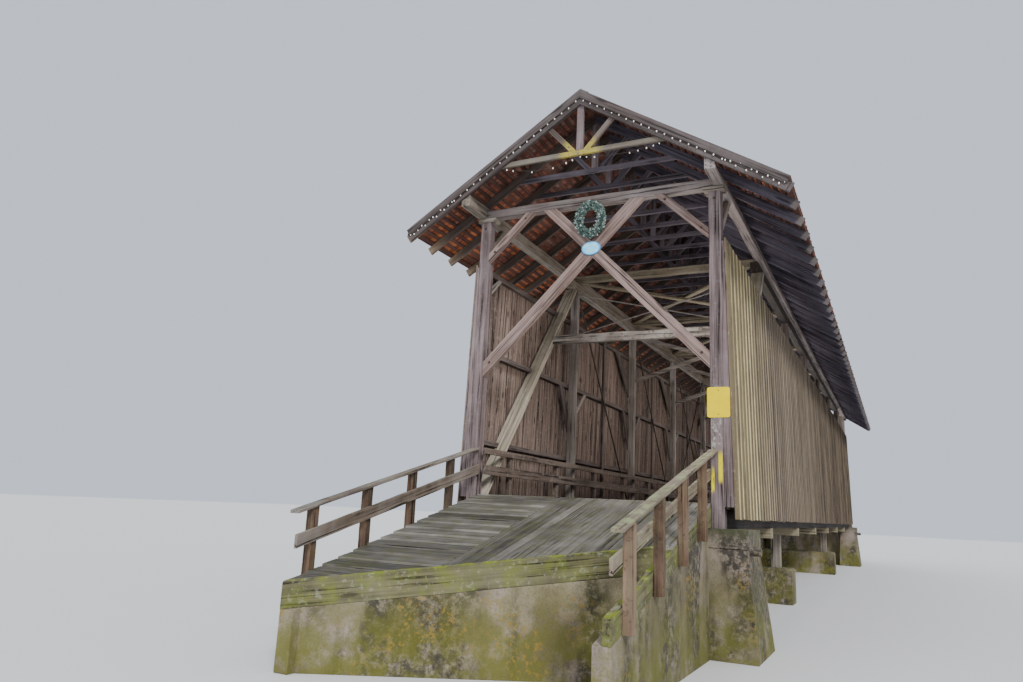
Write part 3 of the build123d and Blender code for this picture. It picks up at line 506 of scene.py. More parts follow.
@dataclass(frozen=True)
class ConcreteFinish:
    """Blotched concrete with drips, moss at foot and head, a dark film on top and dry crusts.

    The pairs foot, head and film_rise are levels between which each of them fades out or in.
    """

    name: str
    clean: tuple = (0.15, 0.122, 0.078)
    pale: tuple = (0.30, 0.257, 0.165)
    blush: tuple = (0.30, 0.24, 0.215)
    stain: tuple = (0.028, 0.025, 0.021)
    moss: tuple = (0.115, 0.115, 0.014)
    crust: tuple = (0.26, 0.17, 0.03)
    film: tuple = (0.060, 0.064, 0.036)
    foot: tuple = (0.15, 1.5)
    head: tuple = (1.6, 2.0)
    film_rise: tuple = (1.5, 1.85)

    def build(self) -> bpy.types.Material:
        """Make the material.

        Returns:
            A material on Object coordinates.
        """
        s = Shader(self.name)
        place = s.place()
        height = s.parts(place)[2]
        cloud = s.noise(place, 1.4, 5.0, 0.6)
        grit = s.noise(place, 45.0, 4.0, 0.7)
        drips = s.noise(s.scaled(place, (3.0, 3.0, 0.5)), 1.0, 4.0, 0.6)
        speckle = s.noise(place, 11.0, 5.0, 0.75)
        body = s.mix(cloud.between(0.36, 0.62), self.clean, self.pale)
        blush = s.noise(place, 0.7, 3.0).between(0.48, 0.62)
        body = s.mix(blush * 0.6, body, self.blush)
        body = s.mix(grit.between(0.45, 0.7) * 0.45, body, self.stain)
        soot = s.noise(s.scaled(place, (1.5, 1.5, 0.45)), 1.0, 3.0, 0.5).between(0.42, 0.56)
        body = s.mix(speckle.between(0.34, 0.58) * soot * 0.9, body, self.stain)
        body = s.mix(drips.between(0.52, 0.68) * 0.45, body, self.stain)
        growth = s.noise(place, 2.6, 6.0, 0.7).between(0.36, 0.58)
        reach = (1.0 - height.between(*self.foot)) * 0.8 + height.between(*self.head) * 0.7
        body = s.mix((growth * reach).clamped(), body, self.moss)
        crust = s.noise(place, 16.0, 4.0, 0.7).between(0.52, 0.64)
        crust = crust * s.noise(place, 1.1, 2.0).between(0.52, 0.62)
        body = s.mix(crust * 0.8, body, self.crust)
        rise = height.between(*self.film_rise)
        body = s.mix((rise * growth * 0.55 + rise * 0.35).clamped(), body, self.film)
        s.feed("Base Color", body)
        s.feed("Roughness", (0.78 + grit * 0.2).clamped())
        s.feed("Specular IOR Level", 0.3)
        s.bump(grit * 0.5 + cloud * 0.5 + drips * 0.3, 0.55, 0.01)
        return s.material


@dataclass(frozen=True)
class PlainFinish:
    """Metal, paint, glass or leaf with a slight mottle."""

    name: str
    base: tuple
    second: tuple
    mottle: float = 20.0
    rough: float = 0.45
    metallic: float = 0.0
    glow: float = 0.0
    by_tone: bool = False
    shine: float = 0.5

    def build(self) -> bpy.types.Material:
        """Make the material.

        Returns:
            A material on Object coordinates.
        """
        s = Shader(self.name)
        cloud = s.noise(s.place(), self.mottle, 4.0, 0.6)
        share = s.attribute("tone", "Fac").between(0.45, 1.0) if self.by_tone else cloud.between(0.35, 0.7)
        s.feed("Base Color", s.mix(share, self.base, self.second))
        s.feed("Roughness", (self.rough + (cloud - 0.5) * 0.25).clamped())
        s.feed("Metallic", self.metallic)
        s.feed("Specular IOR Level", self.shine)
        if self.glow:
            s.feed("Emission Color", self.base)
            s.feed("Emission Strength", self.glow)
        s.bump(cloud, 0.2, 0.002)
        return s.material


# Timbers of the frame
PORTAL_WOOD = WoodFinish(
    "portal_timber", (0.052, 0.032, 0.030), (0.235, 0.170, 0.168), (0.33, 0.285, 0.285), weather=0.45,
    crack=0.9, spread=0.3, lichen=0.08, lichen_colour=(0.50, 0.47, 0.42), daubs=DAUBS)
BRACE_WOOD = WoodFinish(
    "brace_timber", (0.10, 0.06, 0.05), (0.32, 0.225, 0.195), (0.41, 0.325, 0.29), weather=0.3,
    crack=0.9, spread=0.25)
BEAM_WOOD = WoodFinish(
    "crossbeam_timber", (0.055, 0.038, 0.034), (0.24, 0.190, 0.175), (0.37, 0.33, 0.31), crack=0.9,
    spread=0.3, moss=0.15, moss_colour=(0.20, 0.20, 0.13))
BARK_WOOD = WoodFinish(
    "sway_timber", (0.08, 0.06, 0.045), (0.34, 0.29, 0.25), (0.52, 0.49, 0.45), weather=0.6, crack=1.0,
    spread=0.3, moss=0.15, lichen=0.6, lichen_colour=(0.035, 0.028, 0.024))
PLATE_WOOD = WoodFinish(
    "plate_timber", (0.07, 0.055, 0.045), (0.25, 0.205, 0.165), (0.36, 0.32, 0.275), crack=0.9,
    spread=0.3, moss=0.35, moss_colour=(0.20, 0.19, 0.08), lichen=0.3, lichen_colour=(0.36, 0.33, 0.16))
END_WOOD = WoodFinish(
    "end_post_timber", (0.15, 0.12, 0.085), (0.42, 0.36, 0.28), (0.54, 0.50, 0.42), weather=0.6,
    crack=0.8, spread=0.3, moss=0.4, moss_colour=(0.20, 0.22, 0.08), lichen=0.3,
    lichen_colour=(0.20, 0.22, 0.09))
# Its portal_light is painted light towards the near portal.
POST_WOOD = WoodFinish(
    "truss_post_timber", (0.070, 0.056, 0.047), (0.265, 0.224, 0.192), (0.40, 0.365, 0.335), weather=0.6,
    crack=0.9, portal_light=(0.52, 0.47, 0.42), portal_light_from=7.0, portal_light_to=14.0)
LATERAL_WOOD = WoodFinish(
    "lateral_timber", (0.075, 0.060, 0.040), (0.26, 0.215, 0.145), (0.38, 0.335, 0.25), crack=0.9,
    moss=0.2, moss_colour=(0.20, 0.19, 0.08), lichen=0.4, lichen_colour=(0.05, 0.042, 0.034))
TRUSS_WOOD = WoodFinish(
    "truss_timber", (0.036, 0.026, 0.024), (0.125, 0.094, 0.08), (0.20, 0.17, 0.155), crack=0.8,
    spread=0.45)
FLOOR_WOOD = WoodFinish(
    "floor_beam_timber", (0.10, 0.078, 0.048), (0.31, 0.26, 0.165), (0.39, 0.345, 0.24), crack=0.8,
    spread=0.4)
# Near-black painted shade for the bottom chords and the right top chord.
SHADE_WOOD = WoodFinish(
    "painted_shade_chord_timber", (0.012, 0.009, 0.007), (0.052, 0.038, 0.029), (0.085, 0.068, 0.055), weather=0.4,
    crack=0.8, spread=0.4)

# Timbers of the roof
# Painted light on the rafter tails near the eaves; its portal_light is painted light near the portal.
ROOF_WOOD = WoodFinish(
    "rafter_timber", (0.036, 0.031, 0.043), (0.135, 0.115, 0.148), (0.18, 0.168, 0.21), weather=0.45,
    crack=0.7, spread=0.5, portal_light=(0.22, 0.19, 0.20), portal_light_from=11.5, portal_light_to=19.5,
    eave_light=(0.15, 0.125, 0.10), eave_light_reach=0.14)
# Warm painted light near the roof's edge; its portal_light is painted light near the portal.
TAN_RAFTER_WOOD = WoodFinish(
    "tan_rafter_timber", (0.032, 0.022, 0.019), (0.115, 0.083, 0.068), (0.16, 0.13, 0.11), weather=0.45,
    crack=0.7, spread=0.5, portal_light=(0.36, 0.27, 0.195), portal_light_from=11.5, portal_light_to=18.5,
    eave_light=(0.36, 0.26, 0.17), eave_light_reach=0.5)
LICHEN_WOOD = WoodFinish(
    "lichened_collar", (0.040, 0.030, 0.024), (0.145, 0.118, 0.092), (0.21, 0.19, 0.155), weather=0.6,
    crack=0.8, spread=0.3, moss=0.1, lichen=0.35, lichen_colour=(0.37, 0.30, 0.06), lichen_reach=0.5)
FAN_WOOD = WoodFinish(
    "lichened_fan", (0.045, 0.032, 0.028), (0.17, 0.125, 0.105), (0.24, 0.195, 0.175), weather=0.45,
    crack=0.8, spread=0.3, lichen=0.2, lichen_colour=(0.37, 0.30, 0.06), lichen_reach=0.42)
# Its portal_light is painted light towards the near portal.
COLLAR_WOOD = WoodFinish(
    "inner_collar_timber", (0.040, 0.033, 0.040), (0.145, 0.120, 0.142), (0.20, 0.178, 0.205),
    weather=0.45, crack=0.7, spread=0.4, portal_light=(0.38, 0.29, 0.275), portal_light_from=10.0, portal_light_to=18.5)

# Boards and shingles
# Painted shade: the boards are darker than the cover strips; plus painted light near the portal.
SIDING_WOOD = WoodFinish(
    "wall_boards", (0.020, 0.013, 0.008), (0.115, 0.080, 0.053), (0.165, 0.125, 0.088), weather=0.45,
    crack=1.0, spread=0.6, moss=0.2, moss_colour=(0.12, 0.12, 0.03), lichen=0.25,
    lichen_colour=(0.45, 0.42, 0.34), portal_light=(0.125, 0.094, 0.063), portal_light_from=-6.0, portal_light_to=13.0,
    blotchy=0.45, corner_sunlight=(0.20, 0.150, 0.068), knot_size=(2.3, 5.0, 5.0), knotty=0.85,
    inner=((0.045, 0.030, 0.025), (0.20, 0.132, 0.106), (0.34, 0.262, 0.22)))
# Painted light: strips lighter than the boards, paler near the portal, sunlit at the right near corner.
STRIP_WOOD = WoodFinish(
    "cover_strips", (0.045, 0.030, 0.019), (0.17, 0.122, 0.082), (0.23, 0.180, 0.125), crack=0.9,
    spread=0.9, moss=0.2, moss_colour=(0.15, 0.15, 0.04), portal_light=(0.37, 0.292, 0.205), portal_light_from=-6.0,
    portal_light_to=13.0, blotchy=0.6, knotty=0.3, corner_sunlight=(0.98, 0.85, 0.42))
SKIP_WOOD = WoodFinish(
    "skip_boards", (0.042, 0.020, 0.017), (0.150, 0.066, 0.050), (0.18, 0.10, 0.08), weather=0.3,
    crack=0.5, spread=0.7, blotchy=1.2)
# Painted light on the undersides: the third inner colour near the portal, orange near the eaves.
SHINGLE_WOOD = WoodFinish(
    "roof_shingles", (0.07, 0.05, 0.04), (0.17, 0.135, 0.105), (0.24, 0.215, 0.19), weather=0.7,
    spread=1.0, moss=0.5, relief=0.7, portal_light_from=9.0, portal_light_to=20.0, blotchy=0.5, inner_blotchy=1.6,
    eave_light=(0.92, 0.28, 0.09), eave_light_reach=2.2,
    inner=((0.052, 0.022, 0.020), (0.215, 0.078, 0.062), (0.52, 0.185, 0.11)))
FASCIA_WOOD = WoodFinish(
    "verge_boards", (0.032, 0.024, 0.022), (0.115, 0.088, 0.080), (0.17, 0.145, 0.14), crack=0.7,
    spread=0.3)

# Decks and railings
DECK_WOOD = WoodFinish(
    "deck_timber", (0.030, 0.027, 0.023), (0.20, 0.178, 0.145), (0.37, 0.345, 0.30), weather=0.65,
    crack=1.0, spread=1.1, moss=0.55, moss_colour=(0.115, 0.125, 0.018), wet=0.5, blotchy=0.9, damp=0.46)
RAIL_WOOD = WoodFinish(
    "rail_timber", (0.040, 0.025, 0.016), (0.19, 0.130, 0.085), (0.31, 0.265, 0.20), weather=0.6,
    crack=1.2, spread=0.7, moss=1.1, moss_colour=(0.26, 0.285, 0.14), lichen=0.3,
    lichen_colour=(0.42, 0.44, 0.33), blotchy=1.3)
RAIL_POST_WOOD = WoodFinish(
    "rail_post_timber", (0.026, 0.014, 0.009), (0.185, 0.103, 0.062), (0.28, 0.20, 0.135), weather=0.3,
    crack=1.3, spread=1.0, moss=0.5, moss_colour=(0.22, 0.25, 0.10), lichen=0.4,
    lichen_colour=(0.025, 0.018, 0.015), blotchy=1.4)
LEFT_RAIL_WOOD = WoodFinish(
    "left_rail_timber", (0.036, 0.023, 0.016), (0.175, 0.120, 0.080), (0.29, 0.265, 0.25), weather=0.6,
    crack=1.1, spread=0.6, moss=0.35, moss_colour=(0.24, 0.27, 0.15), blotchy=1.2)
GUARD_WOOD = WoodFinish(
    "guard_rail_timber", (0.032, 0.022, 0.017), (0.145, 0.104, 0.080), (0.23, 0.185, 0.155), crack=1.0,
    spread=0.5, lichen=0.22, lichen_colour=(0.42, 0.38, 0.31))
MOSSY_WOOD = WoodFinish(
    "mossy_kerb", (0.060, 0.052, 0.026), (0.17, 0.155, 0.075), (0.26, 0.25, 0.15), crack=0.9, spread=0.5,
    moss=2.0, moss_colour=(0.16, 0.19, 0.015), lichen=0.3, lichen_colour=(0.38, 0.40, 0.28))

# Concrete, metal, paint, leaf and glass
CONCRETE = ConcreteFinish("weathered_concrete")
IRON = PlainFinish(
    "dull_iron", (0.06, 0.05, 0.045), (0.13, 0.085, 0.06), mottle=30.0, rough=0.6, metallic=0.8)
ROD = PlainFinish(
    "pale_rods", (0.26, 0.23, 0.21), (0.40, 0.36, 0.33), mottle=30.0, rough=0.6, metallic=0.2)
SIGN_PAINT = PlainFinish(
    "sign_yellow", (0.84, 0.64, 0.0), (0.78, 0.58, 0.0), mottle=6.0, rough=0.8, shine=0.0)
PLAQUE_PAINT = PlainFinish("plaque_blue", (0.05, 0.34, 0.68), (0.09, 0.43, 0.76), mottle=12.0, rough=0.4)
PLAQUE_FIELD = PlainFinish("plaque_field", (0.15, 0.60, 0.90), (0.38, 0.80, 0.95), mottle=16.0, rough=0.4)
LEAF = PlainFinish(
    "wreath_leaf", (0.09, 0.155, 0.125), (0.52, 0.61, 0.58), mottle=40.0, rough=0.5, by_tone=True)
LAMP = PlainFinish("lamp_glass", (0.90, 0.88, 0.82), (0.86, 0.84, 0.76), mottle=30.0, rough=0.2, glow=0.3)

Finish = WoodFinish | ConcreteFinish | PlainFinish
_MADE: dict = {}


def finish(style: Finish) -> bpy.types.Material:
    """Build each material once."""
    if style.name not in _MADE:
        _MADE[style.name] = style.build()
    return _MADE[style.name]


@dataclass
class Surface:
    """A mesh in the making: corners, faces and the wood's own attributes."""

    points: np.ndarray
    faces: list
    grain: np.ndarray
    tone: np.ndarray
    outside: np.ndarray

    @staticmethod
    def joined(surfaces: list) -> "Surface":
        """Join several surfaces into one.

        Args:
            surfaces: the surfaces, in order.

        Returns:
            One surface with renumbered faces.
        """
        shift = np.cumsum([0] + [len(s.points) for s in surfaces[:-1]])
        faces = [f + n for s, n in zip(surfaces, shift) for f in s.faces]
        return Surface(np.concatenate([s.points for s in surfaces]), faces,
                       np.concatenate([s.grain for s in surfaces]),
                       np.concatenate([s.tone for s in surfaces]),
                       np.concatenate([s.outside for s in surfaces]))

    @staticmethod
    def plain(points: np.ndarray, faces: list) -> "Surface":
        """A surface of an even tone, whose grain is its own corners."""
        flat = points.reshape(-1, 3)
        return Surface(flat, faces, flat.copy(), np.full(len(flat), 0.5), np.ones(len(flat)))

    def object(self, name: str, style: Finish, slot: str, replaced: tuple = ()) -> bpy.types.Object:
        """Make the Blender piece and let it ride on the bridge.

        Args:
            name: the piece's name.
            style: its finish.
            slot: the material slot; not used.
            replaced: CAD nodes it stands for.

        Returns:
            The piece.
        """
        mesh = bpy.data.meshes.new(name)
        mesh.from_pydata(self.points.tolist(), [], [row for f in self.faces for row in f.tolist()])
        for key, kind, values in (("grain", "FLOAT_VECTOR", self.grain), ("tone", "FLOAT", self.tone),
                                  ("outside", "FLOAT", self.outside)):
            layer = mesh.attributes.new(key, kind, "POINT")
            layer.data.foreach_set("vector" if kind == "FLOAT_VECTOR" else "value",
                                   np.ascontiguousarray(values, dtype=np.float32).ravel())
        mesh.materials.append(finish(style))
        mesh.update()
        piece = bpy.data.objects.new(name, mesh)
        bpy.context.scene.collection.objects.link(piece)
        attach(piece, BODY)
        if replaced:
            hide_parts(*replaced)
        LOG.info("%s: %d corners", name, len(self.points))
        return piece


def unit(vectors: np.ndarray) -> np.ndarray:
    """Vectors scaled to length one along the last axis."""
    return vectors / np.maximum(np.linalg.norm(vectors, axis=-1, keepdims=True), 1e-9)


def tube_faces(count: int, stations: int, ring: int) -> list:
    """Faces of many closed bars: side quads between rings, and one polygon over each end.

    Args:
        count: number of bars.
        stations: rings in each bar.
        ring: corners in each ring.

    Returns:
        Face arrays, with the bars' corners in order bar, ring, corner.
    """
    base = (np.arange(count) * stations * ring)[:, None, None]
    row = np.arange(stations - 1)[None, :, None] * ring
    k = np.arange(ring)[None, None, :]
    after = (k + 1) % ring
    a, b = base + row + k, base + row + after
    sides = np.stack([a, b, b + ring, a + ring], axis=-1).reshape(-1, 4)
    low = (base[:, 0] + np.arange(ring)[::-1]).reshape(-1, ring)
    high = (base[:, 0] + (stations - 1) * ring + np.arange(ring)).reshape(-1, ring)
    return [sides, low, high]


def bars(start: np.ndarray, end: np.ndarray, rng: np.random.Generator, step: float = 0.35,
         edge: float = 0.006, wave: float = 0.002, outward: tuple = (0.0, 0.0, 0.0)) -> Surface:
    """Timbers ruled between two end outlines.

    Each corner line runs straight from start to end. A corner is split in two by a small edge cut, and
    every point is pushed out or in by two sine waves along the length, with its own phase.

    Args:
        start: (n, 4, 3) corners of the first ends, in order round the timber.
        end: (n, 4, 3) corners of the other ends.
        rng: source of chance.
        step: spacing of the rings.
        edge: size of the edge cut.
        wave: height of the unevenness.
        outward: direction of the weather side, for boards seen from both sides.

    Returns:
        One surface for all of them.
    """
    start, end = np.asarray(start, float), np.asarray(end, float)
    count = len(start)
    run = end.mean(1) - start.mean(1)
    length = np.linalg.norm(run, axis=1)
    axis = unit(run)
    turn = np.cross(start[:, 1] - start[:, 0], start[:, 2] - start[:, 1])
    flip = np.einsum("ij,ij->i", turn, axis) < 0
    start = np.where(flip[:, None, None], start[:, ::-1], start)
    end = np.where(flip[:, None, None], end[:, ::-1], end)
    stations = max(2, int(math.ceil(length.max() / step)) + 1)

    def ring(corners: np.ndarray) -> np.ndarray:
        """Two points beside each corner, or the corner alone where there is no edge cut.

        Args:
            corners: (n, 4, 3) corners.

        Returns:
            (n, 8, 3) points, or the corners.
        """
        if not edge:
            return corners
        back = corners + edge * unit(np.roll(corners, 1, axis=1) - corners)
        ahead = corners + edge * unit(np.roll(corners, -1, axis=1) - corners)
        return np.stack([back, ahead], axis=2).reshape(count, 8, 3)

    t = np.linspace(0.0, 1.0, stations)[None, :, None, None]
    grid = ring(start)[:, None] * (1 - t) + ring(end)[:, None] * t
    centre = grid.mean(axis=2, keepdims=True)
    out = unit(grid - centre)
    along = t[..., 0] * length[:, None, None]
    phase = rng.random((count, 1, grid.shape[2])) * TAU
    long_wave = 0.6 * np.sin(TAU * along / LONG_WAVE + phase)
    short_wave = 0.4 * np.sin(TAU * along / SHORT_WAVE + 2.3 * phase)
    push = wave * (long_wave + short_wave)
    grid = grid + out * push[..., None]
    broad = unit(start[:, 1] - start[:, 0])[:, None, None]
    deep = np.cross(axis[:, None, None], broad)
    offset = rng.random((count, 1, 1, 3)) * GRAIN_SHIFT
    off = grid - centre
    grain = np.stack([np.broadcast_to(along, grid.shape[:3]), (off * broad).sum(-1), (off * deep).sum(-1)],
                     axis=-1) + offset
    tone = np.broadcast_to(rng.random((count, 1, 1)), grid.shape[:3])
    weather_side = (off * np.asarray(outward)).sum(-1) > 0
    return Surface(grid.reshape(-1, 3), tube_faces(count, stations, grid.shape[2]), grain.reshape(-1, 3),
                   tone.reshape(-1), weather_side.reshape(-1).astype(float))


def box_bars(low: np.ndarray, high: np.ndarray, along: int, rng: np.random.Generator,
             **how: float) -> Surface:
    """Square timbers between two opposite corners each.

    Args:
        low: (n, 3) lowest corners.
        high: (n, 3) highest corners.
        along: axis number the timbers run along.
        rng: source of chance.
        how: further arguments of bars.

    Returns:
        One surface.
    """
    low, high = np.asarray(low, float), np.asarray(high, float)
    p, q = [n for n in range(3) if n != along]
    ends = []
    for place in (low[:, along], high[:, along]):
        corners = np.empty((len(low), 4, 3))
        corners[:, :, along] = place[:, None]
        corners[:, :, p] = np.stack([low[:, p], high[:, p], high[:, p], low[:, p]], axis=1)
        corners[:, :, q] = np.stack([low[:, q], low[:, q], high[:, q], high[:, q]], axis=1)
        ends.append(corners)
    return bars(ends[0], ends[1], rng, **how)


@dataclass
class Timbers:
    """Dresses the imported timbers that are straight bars, and softens the rest."""

    seed: int = 11
    gable_gap: float = 0.3

    def solids(self, node: str) -> list:
        """Corners of each separate solid in a node.

        Corner labels spread over shared triangles until they are still, so each solid ends with one label.

        Args:
            node: the CAD node.

        Returns:
            One array of corners for each solid.
        """
        corners, triangles = self.merged(node)
        label = np.arange(len(corners))
        while True:
            lowest = label[triangles].min(axis=1)
            spread = label.copy()
            np.minimum.at(spread, triangles.ravel(), np.repeat(lowest, 3))
            if (spread == label).all():
                break
            label = spread
        return [corners[label == n] for n in np.unique(label)]

    def merged(self, node: str) -> tuple:
        """Unique corners of a node and its triangles.

        Args:
            node: the CAD node.

        Returns:
            Corners as (n, 3) and triangles as (m, 3).
        """
        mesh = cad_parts[node].data
        raw = np.empty(len(mesh.vertices) * 3)
        mesh.vertices.foreach_get("co", raw)
        mesh.calc_loop_triangles()
        triangles = np.empty(len(mesh.loop_triangles) * 3, int)
        mesh.loop_triangles.foreach_get("vertices", triangles)
        corners, inverse = np.unique(np.round(raw.reshape(-1, 3), 4), axis=0, return_inverse=True)
        return corners, inverse.reshape(-1)[triangles].reshape(-1, 3)

    @staticmethod
    def rails(corners: np.ndarray) -> tuple:
        """Start and end outlines of a bar with eight corners.

        The long axis is the main direction of the corners. The four lowest along it are the start, set
        in order by their angle round the axis, and each end corner is paired with the nearest start.

        Args:
            corners: (8, 3) corners.

        Returns:
            The (4, 3) start and the (4, 3) end.
        """
        if len(corners) != 8:
            raise ValueError(f"a straight timber has 8 corners, not {len(corners)}")
        middle = corners.mean(0)
        axis = np.linalg.svd(corners - middle)[2][0]
        order = np.argsort((corners - middle) @ axis)
        start, end = corners[order[:4]], corners[order[4:]]
        side = np.cross(axis, (0.0, 0.0, 1.0) if abs(axis[2]) < 0.9 else (1.0, 0.0, 0.0))
        side /= np.linalg.norm(side)
        plane = np.stack([side, np.cross(axis, side)], axis=1)
        flat = (start - start.mean(0)) @ plane
        start = start[np.argsort(np.arctan2(flat[:, 1], flat[:, 0]))]
        a, b = (start - start.mean(0)) @ plane, (end - end.mean(0)) @ plane
        return start, end[np.linalg.norm(a[:, None] - b[None], axis=2).argmin(axis=1)]

    def dress(self, node: str, style: WoodFinish, keep: Callable | None = None, name: str | None = None,
              slot: str = "frame_timber", **how: float) -> bpy.types.Object:
        """Replace a node of straight timbers by softened, grained ones.

        Args:
            node: the CAD node.
            style: the finish.
            keep: optional test on a solid's corners, for a node dressed in two finishes.
            name: the piece's name where it isn't the node's.
            slot: the material slot.
            how: further arguments of bars.

        Returns:
            The new piece.
        """
        rng = np.random.default_rng(self.seed + len(node) * 7)
        chosen = [c for c in self.solids(node) if keep is None or keep(c)]
        pairs = [self.rails(c) for c in chosen]
        start, end = (np.array([p[n] for p in pairs]) for n in (0, 1))
        piece = bars(start, end, rng, **how)
        return piece.object(name or f"{node}_timbers", style, slot, (node,))

    def soften(self, node: str, style: WoodFinish | ConcreteFinish, width: float = 0.006,
               keep: Callable | None = None, name: str | None = None, slot: str = "frame_timber",
               sloped: bool = False) -> bpy.types.Object:
        """Replace a node by a merged copy with worn edges and grain along each solid.

        Args:
            node: the CAD node.
            style: the finish.
            width: the worn edge's width.
            keep: optional test on a solid's corners, for a node in two finishes.
            name: the piece's name where it isn't the node's.
            slot: the material slot.
            sloped: whether the grain runs down both slopes of the roof.

        Returns:
            The new piece.
        """
        rng = np.random.default_rng(self.seed + len(node))
        corners, triangles = self.merged(node)
        grain, tone = corners.copy(), np.zeros(len(corners))
        wanted = np.zeros(len(corners), bool)
        for solid in self.solids(node):
            member = (corners[:, None] == solid[None]).all(-1).any(1)
            wanted |= member & (keep is None or keep(solid))
            centred = solid - solid.mean(0)
            basis = np.linalg.svd(centred, full_matrices=False)[2]
            grain[member] = (corners[member] - solid.mean(0)) @ basis.T + rng.random(3) * GRAIN_SHIFT
            tone[member] = rng.random()
        if sloped:
            steep = roof_slope() / math.hypot(1, roof_slope())
            flat = 1 / math.hypot(1, roof_slope())
            out = np.abs(corners[:, 0])
            grain = np.stack([out * flat - corners[:, 2] * steep, corners[:, 1],
                              out * steep + corners[:, 2] * flat], axis=1)
        number = np.cumsum(wanted) - 1
        faces = number[triangles[wanted[triangles].all(axis=1)]]
        surface = Surface(corners[wanted], [faces], grain[wanted], tone[wanted], np.ones(wanted.sum()))
        piece = surface.object(name or f"{node}_worn", style, slot, (node,))
        worn = piece.modifiers.new("worn_edges", "BEVEL")
        worn.width = width
        worn.segments = 2
        worn.limit_method = "ANGLE"
        worn.angle_limit = math.radians(25)
        return piece

    def build(self) -> None:
        """Dress the straight timbers and soften the others, from the portals in to the railings."""
        self.portals()
        self.walls()
        self.rafters()
        self.railings()
        self.soften("gable_boards", FASCIA_WOOD, 0.004, slot="wall_boards", sloped=True)
        self.soften("ridge_cap", SHINGLE_WOOD, 0.004, slot="roof_boards")

    def portals(self) -> None:
        """Posts, crossbeams, knees, braces and bolsters of both portals, then plates and top chords."""
        for node in ("portal_posts", "portal_side_studs"):
            self.dress(node, PORTAL_WOOD, edge=0.009, wave=0.003, step=0.3)
        self.dress("portal_crossbeams", BEAM_WOOD, edge=0.012, wave=0.004)
        self.dress("portal_knees", BRACE_WOOD, edge=0.007)
        self.dress("plate_knees", PLATE_WOOD, edge=0.007)
        for node in ("rising_braces", "falling_braces"):
            self.soften(node, BRACE_WOOD)
        self.soften("portal_bolsters", PLATE_WOOD, 0.012)
        # The right top chord takes the near-black painted shade finish.
        heads = ((Side.LEFT, PLATE_WOOD, PLATE_WOOD), (Side.RIGHT, BEAM_WOOD, SHADE_WOOD))
        for side, plate, chord in heads:
            self.soften("wall_plates", plate, 0.01, side.holds, f"{side.word}_wall_plate")
            self.soften("top_chords", chord, 0.006, side.holds, f"{side.word}_top_chord")

    def walls(self) -> None:
        """The trusses, their bracing, the floor beams and what stands in the walls."""
        self.dress("end_posts", END_WOOD, edge=0.009, wave=0.004)
        for side, style in ((Side.LEFT, POST_WOOD), (Side.RIGHT, TRUSS_WOOD)):
            self.dress("truss_posts", style, side.holds, f"{side.word}_truss_posts", edge=0.007, wave=0.003)
        for node, style, edge, wave in (
                ("lower_laterals", LATERAL_WOOD, 0.006, 0.003),
                ("upper_laterals", LATERAL_WOOD, 0.006, 0.003),
                ("top_struts", LATERAL_WOOD, 0.014, 0.006),
                ("sway_beams", BARK_WOOD, 0.014, 0.006)):
            self.dress(node, style, edge=edge, wave=wave)
        self.soften("sway_braces", POST_WOOD)
        self.dress("floor_beams", FLOOR_WOOD, edge=0.008, wave=0.003)
        self.dress("bent_posts", PLATE_WOOD, edge=0.008, wave=0.003)

        def climbs(corners: np.ndarray) -> bool:
            """Whether a timber rises away from the near portal."""
            return corners[corners[:, 2].argmax(), 1] > corners[corners[:, 2].argmin(), 1]

        self.dress("girt_knees", POST_WOOD, climbs, "pale_girt_knees", edge=0.006)
        self.dress("girt_knees", TRUSS_WOOD, lambda c: not climbs(c), "dark_girt_knees", edge=0.006)
        for node in ("wall_girts", "wall_studs", "deck_joists"):
            self.dress(node, TRUSS_WOOD, edge=0.006, wave=0.003)
        # The bottom chords take the near-black painted shade finish.
        self.soften("bottom_chords", SHADE_WOOD)

    def rafters(self) -> None:
        """Rafters, and the collars, fans and king posts of the near gable and of the others."""
        for node, style in (("left_rafters", TAN_RAFTER_WOOD), ("right_rafters", ROOF_WOOD)):
            self.dress(node, style, slot="roof_timber", edge=0.004, wave=0.003)

        def near(corners: np.ndarray) -> bool:
            """Whether a solid hangs in front of the near portal."""
            return corners[:, 1].max() < PORTAL_Y - self.gable_gap

        def inner(corners: np.ndarray) -> bool:
            """Whether it hangs anywhere else."""
            return not near(corners)

        for node, style in (("collar_ties", LICHEN_WOOD), ("fan_struts", FAN_WOOD)):
            self.dress(node, style, near, f"near_{node}", "roof_timber", edge=0.004)
            self.dress(node, COLLAR_WOOD, inner, f"inner_{node}", "roof_timber", edge=0.004)
        self.soften("king_posts", PORTAL_WOOD, 0.004, near, "near_king_post", "roof_timber")
        self.soften("king_posts", COLLAR_WOOD, 0.004, inner, "inner_king_posts", "roof_timber")

    def railings(self) -> None:
        """Rails inside the bridge and on the ramps, and what the ramps lie on."""
        planks = "grey_planks"
        for node in ("inner_rail_posts", "inner_rails"):
            self.dress(node, GUARD_WOOD, slot=planks, edge=0.005)
        self.dress("ramp_rail_posts", RAIL_POST_WOOD, slot=planks, edge=0.006, wave=0.003, step=0.2)
        for node in ("ramp_handrails", "ramp_rail_boards"):
            for side, style in ((Side.LEFT, LEFT_RAIL_WOOD), (Side.RIGHT, RAIL_WOOD)):
                self.dress(node, style, side.holds, f"{side.word}_{node}", planks, edge=0.006, wave=0.003,
                           step=0.2)
        self.soften("ramp_stringers", MOSSY_WOOD, slot=planks)
        self.dress("ramp_kerbs", MOSSY_WOOD, slot=planks, edge=0.008, wave=0.004)


